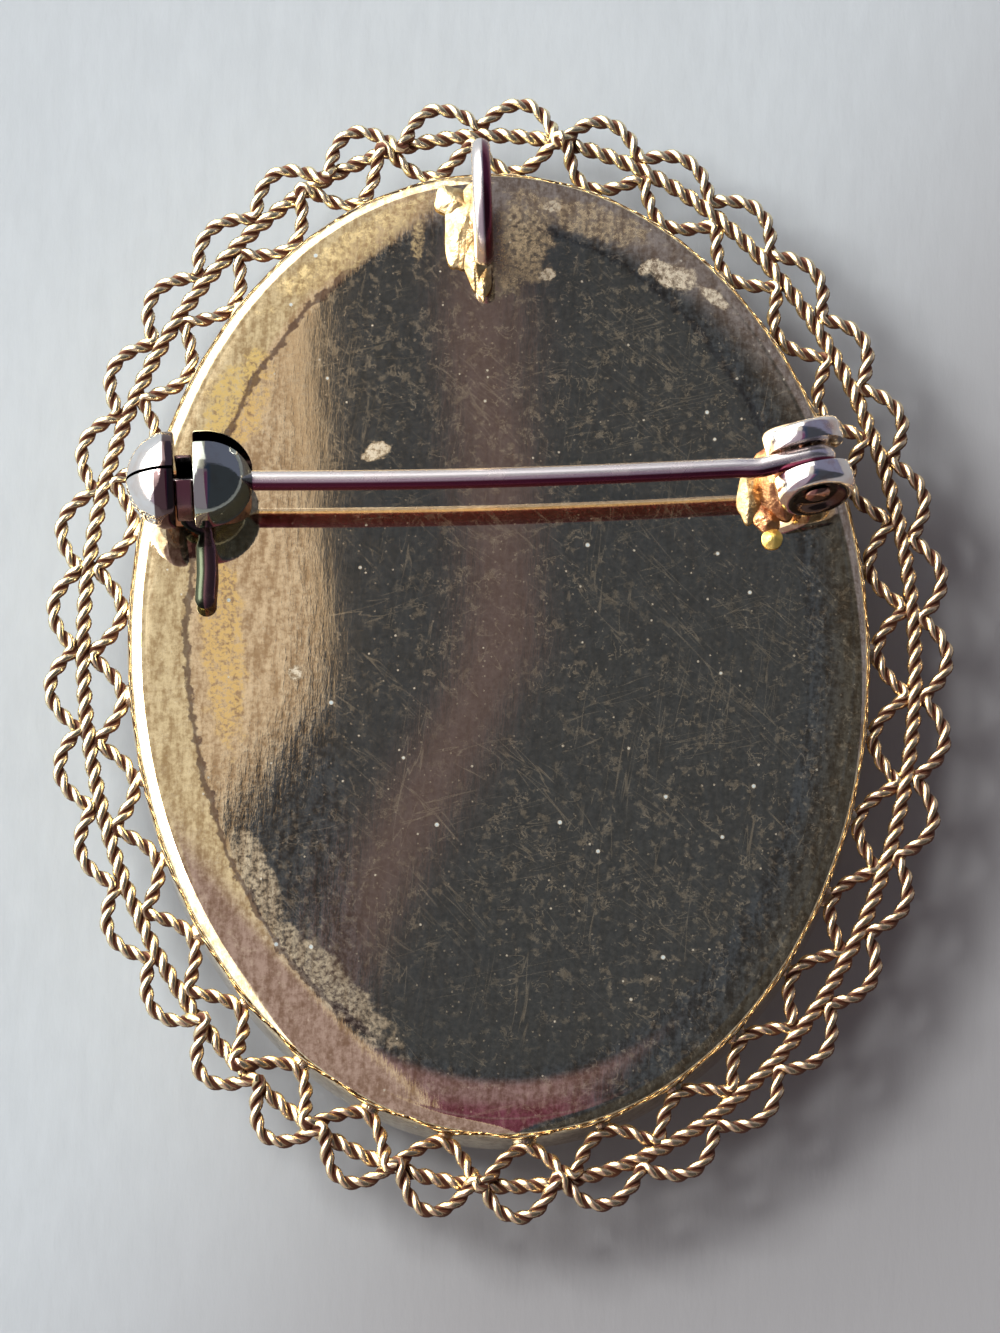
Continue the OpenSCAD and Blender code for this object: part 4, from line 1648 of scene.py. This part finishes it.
@dataclass(frozen=True)
class Form:
    """A rounded raised form, by its outline in shares of the cameo's half width."""

    corners: tuple
    height: float
    round_w: float
    steps: int = 4

    def outline(self) -> np.ndarray:
        """The closed smooth curve through the corners, a cubic between each two.

        Its slope at a corner is half the way from the corner before to the one after.

        Returns:
            The curve's points.
        """
        here = np.array(self.corners)[:, None]
        before, after, beyond = (np.roll(here, k, axis=0) for k in (1, -1, -2))
        t = np.linspace(0, 1, self.steps, endpoint=False)[None, :, None]
        square = (2 * before - 5 * here + 4 * after - beyond) * t**2
        cube = (3 * here - before - 3 * after + beyond) * t**3
        return (here + ((after - before) * t + square + cube) / 2).reshape(-1, 2)

    def depth(self, at: np.ndarray) -> np.ndarray:
        """How far points lie inside the outline, and 0 outside it.

        A point is inside when a line from it to the right crosses the outline an odd
        number of times. Its depth is the least distance to any of the outline's sides.

        Args:
            at: The points' places to the right and up.

        Returns:
            Their depths.
        """
        start = self.outline().astype(np.float32)
        edge = np.roll(start, -1, axis=0) - start
        away = at.astype(np.float32)[..., None, :] - start
        along = np.clip((away * edge).sum(-1) / (edge * edge).sum(-1), 0, 1)
        far = np.linalg.norm(away - along[..., None] * edge, axis=-1).min(-1)
        above = away[..., 1] < 0
        slope = edge[:, 0] / np.where(edge[:, 1] == 0, 1e-9, edge[:, 1])
        crossed = (above != np.roll(above, -1, axis=-1)) & (away[..., 0] < slope * away[..., 1])
        return np.where(crossed.sum(-1) % 2 == 1, far, 0.0)

    def raised(self, depth: np.ndarray) -> np.ndarray:
        """The form's height, rounded off towards its outline by a quarter of a circle."""
        t = np.clip(depth / self.round_w, 0, 1)
        return self.height * np.sqrt(1 - (1 - t) ** 2)


@dataclass
class Cameo:
    """The stone in the cup, a domed ground with a bust in profile in low relief on it.

    The bust looks to the viewer's right. Places on it are shares of the half width.
    """

    oval: Oval
    girdle_z: float
    girdle_h: float = 2.5
    dome_rise: float = 2.2
    relief_h: float = 1.2
    edge_inset: float = 0.4
    face_inset: float = 1.3
    half_w: float = 15.0
    columns: int = 480
    rows: int = 180

    head = Form((
        (0.22, 0.80), (0.30, 0.70), (0.345, 0.60), (0.348, 0.52), (0.326, 0.462), (0.345, 0.40),
        (0.385, 0.325), (0.418, 0.272), (0.402, 0.243), (0.352, 0.226), (0.352, 0.205), (0.374, 0.178),
        (0.366, 0.160), (0.340, 0.148), (0.362, 0.130), (0.358, 0.108), (0.324, 0.080), (0.338, 0.050),
        (0.345, 0.010), (0.325, -0.035), (0.275, -0.060), (0.19, -0.075), (0.13, -0.13), (0.105, -0.22),
        (0.12, -0.32), (0.21, -0.42), (0.40, -0.53), (0.52, -0.70), (0.38, -0.95), (0.0, -1.04),
        (-0.38, -0.97), (-0.60, -0.70), (-0.46, -0.48), (-0.28, -0.35), (-0.22, -0.19), (-0.23, -0.05),
        (-0.30, 0.1), (-0.30, 0.6), (0.0, 0.86)), 0.80, 0.13)
    hair = Form((
        (0.24, 0.765), (0.285, 0.69), (0.23, 0.615), (0.155, 0.52), (0.12, 0.42), (0.10, 0.33),
        (0.05, 0.20), (-0.02, 0.10), (-0.12, 0.02), (-0.24, -0.03), (-0.34, 0.02), (-0.44, 0.06),
        (-0.56, 0.14), (-0.63, 0.27), (-0.60, 0.40), (-0.50, 0.49), (-0.43, 0.58), (-0.38, 0.72),
        (-0.24, 0.86), (-0.06, 0.925), (0.12, 0.88)), 1.10, 0.20)
    drapery = Form((
        (0.17, -0.45), (0.36, -0.51), (0.56, -0.66), (0.55, -0.83), (0.32, -1.02), (0.0, -1.10),
        (-0.36, -1.03), (-0.63, -0.81), (-0.60, -0.57), (-0.42, -0.45), (-0.22, -0.57), (-0.04, -0.67),
        (0.08, -0.57)), 1.35, 0.17)

    # Right, up, half length, half width, turn in degrees and height of each touch: brow and
    # eye, nose, cheek, lips, chin, jaw and neck, and the ear
    touches = (
        (0.262, 0.488, 0.080, 0.020, 8, 0.12),
        (0.262, 0.425, 0.085, 0.050, -8, -0.26),
        (0.292, 0.405, 0.034, 0.030, 0, 0.20),
        (0.285, 0.432, 0.050, 0.010, -14, 0.12),
        (0.285, 0.380, 0.042, 0.008, 10, 0.07),
        (0.365, 0.262, 0.030, 0.022, 0, 0.10),
        (0.335, 0.262, 0.012, 0.028, -15, -0.10),
        (0.17, 0.24, 0.13, 0.12, 0, 0.12),
        (0.352, 0.178, 0.030, 0.014, -12, 0.10),
        (0.345, 0.120, 0.030, 0.015, 10, 0.11),
        (0.335, 0.149, 0.040, 0.007, -4, -0.14),
        (0.312, 0.085, 0.030, 0.014, 0, -0.07),
        (0.30, 0.015, 0.045, 0.045, 0, 0.08),
        (0.12, -0.085, 0.22, 0.030, 22, -0.22),
        (-0.02, -0.24, 0.045, 0.22, 14, 0.10),
        (0.02, -0.40, 0.05, 0.06, 0, -0.14),
        (0.078, 0.285, 0.052, 0.105, 12, 0.50),
        (0.084, 0.295, 0.024, 0.065, 12, -0.42),
        (0.065, 0.205, 0.028, 0.028, 0, 0.12),
    )

    ear: tuple = (0.06, 0.28)
    knot: tuple = (-0.46, 0.26)
    knot_r: float = 0.205
    band: tuple = (-0.30, 0.30)
    band_r: float = 0.545
    lock_w: float = 0.072
    coil_w: float = 0.062
    bead_w: float = 0.05
    fold_w: float = 0.115

    def face(self, right: np.ndarray, up: np.ndarray, depth: np.ndarray) -> np.ndarray:
        """Height of the head and neck: their form with each touch as a soft oval mound.

        Args:
            right: Places to the right, in half widths.
            up: Places upwards.
            depth: How far the places lie inside the head's outline.

        Returns:
            The height over the ground, in shares of the relief's.
        """
        high = self.head.raised(depth)
        inner = smooth(depth, 0, 0.02)
        for mid_right, mid_up, half_l, half_w, turn_deg, height in self.touches:
            turn = math.radians(turn_deg)
            x, y = right - mid_right, up - mid_up
            along = (x * math.cos(turn) + y * math.sin(turn)) / half_l
            over = (y * math.cos(turn) - x * math.sin(turn)) / half_w
            high = high + height * inner * np.exp(-1.6 * (along**2 + over**2))
        return high * (1 - 0.12 * smooth(up, -0.02, -0.16) * smooth(up, -0.72, -0.47))

    def dressed_hair(self, right: np.ndarray, up: np.ndarray, depth: np.ndarray) -> np.ndarray:
        """Height of the hair: waves round the ear, a coiled knot and a beaded band.

        The waves are sines of the distance from the ear. The coils are sines of the
        distance from the knot's middle plus twice the angle round it.

        Args:
            right: Places to the right, in half widths.
            up: Places upwards.
            depth: How far the places lie inside the hair's outline.

        Returns:
            The height over the ground, in shares of the relief's.
        """
        x, y = right - self.ear[0], up - self.ear[1]
        turn = np.arctan2(y, x)
        wavy = 0.9 * np.sin(4 * turn) + 0.5 * np.sin(9 * turn + 1)
        locks = np.sin(TAU * np.hypot(x, 0.95 * y) / self.lock_w + wavy)
        x, y = right - self.knot[0], up - self.knot[1]
        far = np.hypot(x, y)
        coils = np.sin(TAU * far / self.coil_w + 2 * np.arctan2(y, x))
        knot = smooth(far, 0.20, 0.16)
        strands = (1 - knot) * locks + knot * coils
        groove = np.exp(-(((far - self.knot_r) / 0.022) ** 2))
        high = self.hair.raised(depth) * (1 - 0.16 * knot * smooth(far, 0.10, 0.19))
        high = high + 0.085 * strands * smooth(depth, 0.005, 0.06)
        high = high - 0.25 * groove * smooth(depth, 0, 0.05)
        x, y = right - self.band[0], up - self.band[1]
        beads = 0.5 + 0.5 * np.sin(np.arctan2(y, x) * self.band_r * TAU / self.bead_w)
        band = smooth(np.abs(np.hypot(x, y) - self.band_r), 0.034, 0.020)
        return high + band * (0.09 + 0.07 * beads) * smooth(depth, 0, 0.03)

    def draped(self, right: np.ndarray, up: np.ndarray, depth: np.ndarray) -> np.ndarray:
        """Height of the drapery: slanting folds, and a hem along its outline.

        Args:
            right: Places to the right, in half widths.
            up: Places upwards.
            depth: How far the places lie inside the drapery's outline.

        Returns:
            The height over the ground, in shares of the relief's.
        """
        slant = up + 0.35 * right**2 - 0.25 * right + 0.05 * np.sin(6 * right)
        folds = np.sin(TAU * slant / self.fold_w) * smooth(depth, 0, 0.06)
        hem = smooth(np.abs(depth - 0.035), 0.025, 0.01)
        return self.drapery.raised(depth) + 0.09 * folds + 0.05 * hem

    def relief(self, right: np.ndarray, up: np.ndarray) -> np.ndarray:
        """Height of the bust over the ground, the highest of its parts.

        Args:
            right: Places to the right, in half widths.
            up: Places upwards.

        Returns:
            The height in millimetres.
        """
        at = np.stack([right, up], axis=-1)
        bust = self.face(right, up, self.head.depth(at))
        bust = np.maximum(bust, self.dressed_hair(right, up, self.hair.depth(at)))
        bust = np.maximum(bust, self.draped(right, up, self.drapery.depth(at)))
        return self.relief_h * bust

    def skin(self) -> Skin:
        """The stone, from its flat back round its edge to its carved face."""
        skin = Skin()
        heading = np.linspace(0, TAU, self.columns, endpoint=False)[None]
        share = np.linspace(1, 0.004, self.rows)[:, None]
        flat = share[..., None] * self.oval.at(heading, -self.face_inset)
        relief = self.relief(-flat[..., 0] / self.half_w, flat[..., 1] / self.half_w)
        ground = self.girdle_z - self.dome_rise * (1 - share**2)
        face = lifted(flat, np.maximum(ground - relief, 0.0))
        edge = self.oval.at(heading, np.full((2, 1), -self.edge_inset))
        girdle = lifted(edge, np.array([[self.girdle_z + self.girdle_h], [self.girdle_z]]))
        raised = np.concatenate([np.zeros((2, self.columns)), relief])
        index = skin.add_points(np.concatenate([girdle, face]), raised=raised)
        skin.join(index, closed_columns=True)
        skin.fan(index[0], [0, 0, self.girdle_z + self.girdle_h], flip=True)
        skin.fan(index[-1], [0, 0, float(face[-1, :, 2].mean())])
        return skin


# The studio


@dataclass
class PhotoCamera:
    """The camera over the brooch, at the photograph's viewing angle."""

    target: tuple = (0.03, -0.73, 5.5)
    distance: float = 400.0
    elevation_deg: float = 75.3
    roll_deg: float = -2.07
    view_deg: float = 7.9
    sensor: float = 24.0

    def place(self) -> None:
        """Puts the camera in the scene, looking at its target."""
        data = bpy.data.cameras.new("photo_camera")
        data.sensor_fit = "VERTICAL"
        data.sensor_height = self.sensor
        data.lens = self.sensor / 2 / math.tan(math.radians(self.view_deg) / 2)
        data.clip_start = 1 * MM
        data.clip_end = 10
        camera = bpy.data.objects.new("photo_camera", data)
        rise = math.radians(self.elevation_deg)
        target = Vector(self.target) * MM
        away = Vector((0, -math.cos(rise), math.sin(rise)))
        look = (-away).to_track_quat("-Z", "Y").to_matrix().to_4x4()
        roll = Matrix.Rotation(math.radians(self.roll_deg), 4, "Z")
        camera.matrix_world = Matrix.Translation(target + away * self.distance * MM) @ look @ roll
        bpy.context.scene.collection.objects.link(camera)
        bpy.context.scene.camera = camera


@dataclass
class Studio:
    """The pale floor, one soft window light and the dim room that the metal mirrors."""

    floor_half: float = 1500.0
    window_at: tuple = (-228.0, 84.0, 346.0)
    window_size: float = 165.0
    window_power: float = 1.50
    window_tint: tuple = (1.0, 0.98, 0.94)
    ambient: tuple = (0.225, 0.19, 0.20)
    backdrop: tuple = (0.62, 0.65, 0.70)
    ceiling: tuple = (0.033, 0.050, 0.096)
    streak: tuple = (0.115, 0.100, 0.155)
    gold_side: tuple = (0.68, 0.60, 0.56)
    left_wall: tuple = (0.70, 0.66, 0.58)
    left_near: tuple = (0.38, 0.31, 0.38)
    left_high: tuple = (2.4, 2.4, 2.35)
    right_side: tuple = (0.055, 0.060, 0.075)
    near_high: tuple = (0.24, 0.17, 0.25)
    near_low: tuple = (0.16, 0.045, 0.12)
    far_side: tuple = (0.20, 0.205, 0.30)
    window_glow: tuple = (5.0, 4.9, 4.7)
    glow_way: tuple = (-0.75, 0.45, 0.48)

    def floor(self) -> None:
        """A wide flat sheet under the brooch."""
        half = self.floor_half * MM
        mesh = bpy.data.meshes.new("pale_floor")
        corners = [(-half, -half, 0), (half, -half, 0), (half, half, 0), (-half, half, 0)]
        mesh.from_pydata(corners, [], [(0, 1, 2, 3)])
        mesh.materials.append(PaleCloth("Pale cloth", (0.54, 0.60, 0.645), 0.0, 0.85).material())
        sheet = bpy.data.objects.new("pale_floor", mesh)
        bpy.context.scene.collection.objects.link(sheet)

    def window(self) -> None:
        """The soft light from the upper left."""
        data = bpy.data.lights.new("window_light", "AREA")
        data.shape = "DISK"
        data.size = self.window_size * MM
        data.energy = self.window_power
        data.color = self.window_tint
        light = bpy.data.objects.new("window_light", data)
        place = Vector(self.window_at) * MM
        aim = place.to_track_quat("Z", "Y").to_matrix().to_4x4()
        light.matrix_world = Matrix.Translation(place) @ aim
        bpy.context.scene.collection.objects.link(light)

    def room(self) -> None:
        """The room round the brooch, a colour for each direction that its metal mirrors.

        With u = x / z and v = y / z the flat back mirrors |u| < 0.1 and v from 0.17 to
        0.37, and its edges mirror the rest. Overhead the room is dim with one browner
        streak. It is pale to the left and white high up there, maroon towards the viewer
        and lilac beyond the bail. Diffuse light takes one even colour.
        """
        world = bpy.data.worlds.new("room")
        world.use_nodes = True
        bpy.context.scene.world = world
        graph = Graph(world.node_tree)
        direction = graph.node("ShaderNodeTexCoord").outputs["Generated"]
        x, y, z = graph.parts(direction)
        high = graph.larger(z, 0.05)
        u = graph.maths("DIVIDE", x, high)
        v = graph.maths("DIVIDE", y, high)
        colour = graph.mix(graph.rise(u, 0.10, 0.3), self.ceiling, self.right_side)
        # Browner streak, which bends to the left towards the viewer
        off = graph.maths("ABSOLUTE", graph.scaled(graph.past(0.262, v), 0.75, u))
        colour = graph.mix(graph.rise(off, 0.016, 0.003), colour, self.streak)
        colour = graph.mix(graph.rise(v, 0.36, 0.48), colour, self.far_side)
        inner = graph.rise(u, 0.10, 0.02)
        for start, full, tint in ((0.155, 0.10, self.near_high), (0.07, -0.01, self.near_low)):
            colour = graph.mix(graph.times(inner, graph.rise(v, start, full)), colour, tint)
        # Pale left side, its edge further out towards the viewer, brightest high up
        near = graph.maths("MINIMUM", graph.past(0.257, v), 0.028)
        edge = graph.scaled(near, 1.15, u)
        colour = graph.mix(graph.rise(edge, -0.041, -0.046), colour, self.gold_side)
        colour = graph.mix(graph.rise(u, -0.080, -0.095), colour, self.left_wall)
        nearer = graph.times(graph.rise(u, -0.075, -0.095), graph.rise(v, 0.205, 0.16))
        colour = graph.mix(nearer, colour, self.left_near)
        # White beyond the cushion's reach, from the left round to straight behind the bail
        above = graph.maths("SUBTRACT", v, 0.3)
        white = graph.rise(graph.larger(graph.times(u, -1.0), above), 0.33, 0.39)
        white = graph.times(white, graph.rise(graph.scaled(above, 0.1, u), 0.06, 0.03))
        white = graph.times(white, graph.rise(graph.scaled(u, -0.75, above), -0.05, 0.05))
        colour = graph.mix(white, colour, self.left_high)
        # The window itself, as its glow round its own direction
        window = graph.node("ShaderNodeVectorMath", operation="DOT_PRODUCT")
        graph.feed(window.inputs[0], direction)
        graph.feed(window.inputs[1], tuple(Vector(self.glow_way).normalized()))
        glow = graph.rise(window.outputs["Value"], 0.74, 0.90)
        colour = graph.mix(glow, colour, self.window_glow)
        path = graph.node("ShaderNodeLightPath").outputs
        colour = graph.mix(path["Is Diffuse Ray"], colour, self.ambient)
        background = graph.node("ShaderNodeBackground")
        graph.dress(background, color=graph.mix(path["Is Camera Ray"], colour, self.backdrop))
        output = graph.node("ShaderNodeOutputWorld")
        graph.dress(output, surface=background.outputs[0])
        view = bpy.context.scene.view_settings
        view.view_transform = "Standard"
        view.look = "None"


def joint_line(name: str) -> tuple:
    """The middle of a joint's axis in millimetres and its direction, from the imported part."""
    joint = next(joint for joint in frame["joints"] if joint["name"] == name)
    return np.array(joint["pos_m"]) / MM, unit(np.array(joint["axis"], float))


def corners_of(node: str) -> tuple:
    """The lowest and the highest corner of a CAD node's box, in millimetres."""
    low, high = (np.array(corner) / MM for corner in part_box(node))
    return low, high


def make_finishes() -> dict:
    """Makes each finish's material once, under the name of what wears it."""
    finishes = {
        "plate": PlateGilt("Polished gilt plate", (0.86, 0.66, 0.38), roughness=0.03),
        "wire": WireGilt("Gilt twisted wire", (1.0, 0.85, 0.52), roughness=0.26),
        "dabs": SolderRun("Run solder", (0.60, 0.48, 0.30), roughness=0.25),
        "bright runs": SolderRun(
            "Bright solder", (0.66, 0.51, 0.27), roughness=0.34,
            burnt=(0.40, 0.25, 0.10), amount=0.8,
        ),
        "bead": SolderRun(
            "Bead solder", (1.0, 0.78, 0.22), roughness=0.45,
            burnt=(0.9, 0.6, 0.2), amount=0.3,
        ),
        "burnt runs": SolderRun(
            "Burnt solder", (0.66, 0.34, 0.15), roughness=0.3,
            burnt=(0.24, 0.09, 0.05), amount=0.8,
        ),
        "outer cheek": Plating(
            "Catch plating", (0.86, 0.84, 0.83), roughness=0.07, painted_shade=(0.15, 0.10, 0.10)
        ),
        # The catch's plating again, with a darker tint as painted shade on this cheek
        "inner cheek": Plating(
            "Shaded inner cheek plating", (0.46, 0.50, 0.45), roughness=0.07,
            worn=(0.30, 0.24, 0.18), amount=0.3, painted_shade=(0.05, 0.03, 0.025),
        ),
        "lever": Plating(
            "Lever plating", (0.26, 0.14, 0.15), roughness=0.22,
            worn=(0.12, 0.10, 0.075), amount=0.6, painted_shade=(0.022, 0.026, 0.017),
        ),
        "hinge": Plating(
            "Hinge plating", (0.84, 0.80, 0.78), roughness=0.12,
            worn=(0.60, 0.34, 0.24), amount=0.6, painted_shade=(0.12, 0.075, 0.06),
        ),
        "rivet": Plating("Rivet plating", (0.42, 0.22, 0.17), roughness=0.22),
        "pin": Plating(
            "Pin plating", (0.82, 0.77, 0.76), roughness=0.26,
            worn=(0.70, 0.56, 0.56), amount=0.3,
        ),
        "stone": CameoStone("Cameo stone", (0.42, 0.13, 0.07), metallic=0.0, roughness=0.3),
    }
    return {wearer: finish.material() for wearer, finish in finishes.items()}


def build_catch(worn: dict, plate_z: float) -> np.ndarray:
    """Builds the safety catch's pieces.

    Args:
        worn: The materials, by wearer.
        plate_z: The height of the back plate's top.

    Returns:
        The point in the catch where the pin ends.
    """
    catch = Catch(joint_line("catch_turn")[0], plate_z)
    outer, inner = catch.outer_cheek(), catch.inner_cheek()
    outer.build("catch_outer_cheek", worn["outer cheek"], "gilt_setting", bevel=0.04)
    inner.build("catch_inner_cheek", worn["inner cheek"], "gilt_setting", bevel=0.06)
    catch.foot().build("catch_foot", worn["burnt runs"], "gilt_setting")
    catch.hub().build(
        "catch_hub", worn["lever"], "catch_metal", ["catch_lever"], Body.LEVER, bevel=0.04
    )
    catch.tab().build("catch_tab", worn["lever"], "catch_metal", body=Body.LEVER)
    return catch.pin_end()


def build_pin(worn: dict, plate_z: float, point: np.ndarray) -> None:
    """Builds the hinge's cheeks, its rivet and the pin.

    Args:
        worn: The materials, by wearer.
        plate_z: The height of the back plate's top.
        point: The pin's other end.
    """
    rivet, rivet_axis = joint_line("pin_hinge")
    hinge = Hinge(rivet, rivet_axis, plate_z)
    for name, way in (("hinge_cheek_upper", 1), ("hinge_cheek_lower", -1)):
        hinge.cheek(way).build(name, worn["hinge"], "gilt_setting")
    hinge.rivet().build("hinge_rivet_domed", worn["rivet"], "rivet_steel", ["hinge_rivet"])

    pin = PinWire(rivet, rivet_axis, point)
    pin.skin().build("pin_wire", worn["pin"], "pin_steel", ["pin_stem"], Body.PIN)


def build_solder(worn: dict, plate_z: float) -> None:
    """Builds the solder that ran out on the plate.

    Args:
        worn: The materials, by wearer.
        plate_z: The height of the back plate's top.
    """
    for heaps, name, wearer, sharp_deg in (
        (BRIGHT_RUNS, "solder_runs", "bright runs", 180),
        (BURNT_RUNS, "burnt_solder", "burnt runs", 180),
        (BEAD, "solder_bead", "bead", 40),
    ):
        run = Skin()
        for heap in heaps:
            heap.add(run, plate_z)
        run.build(name, worn[wearer], "gilt_setting", sharp_deg=sharp_deg)


def main() -> None:
    """Builds the brooch piece by piece, then the studio and the camera."""
    logging.basicConfig(level=logging.INFO, format="%(name)s %(message)s")
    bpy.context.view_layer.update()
    cup_low, cup_high = corners_of("setting")
    stone_top = float(corners_of("cameo")[1][2])
    oval = Oval(half_w=float(cup_high[0]), half_h=float(-cup_low[1]))
    plate_z = stone_top + PLATE_OVER_STONE
    worn = make_finishes()

    cup = Cup(oval, plate_z, lip_z=float(cup_low[2]))
    cup.skin().build("back_cup", worn["plate"], "gilt_setting", ["setting"])

    wire_low, wire_high = corners_of("filigree_border")
    border = Border(oval, ring_z=float(wire_low[2] + wire_high[2]) / 2)
    border.ring().build("border_ring", worn["wire"], "gilt_wire", ["filigree_border"])
    border.scallop_wire().build("border_scallops", worn["wire"], "gilt_wire")
    border.point_wire().build("border_points", worn["wire"], "gilt_wire")
    border.dabs().build("border_solder", worn["dabs"], "gilt_wire")

    point = build_catch(worn, plate_z)
    build_pin(worn, plate_z, point)

    bail_mount = next(m for m in frame["record"]["mounts"] if m["name"] == "bail")
    bail = Bail(np.array(bail_mount["pos_m"]) / MM)
    bail.skin().build("bail_ring", worn["pin"], "gilt_setting")
    build_solder(worn, plate_z)
    stone = Cameo(oval, girdle_z=stone_top - Cameo.girdle_h)
    stone.skin().build("carved_cameo", worn["stone"], "cameo_stone", ["cameo"])

    studio = Studio()
    studio.floor()
    studio.window()
    studio.room()
    PhotoCamera().place()


if __name__ == "__main__":
    main()
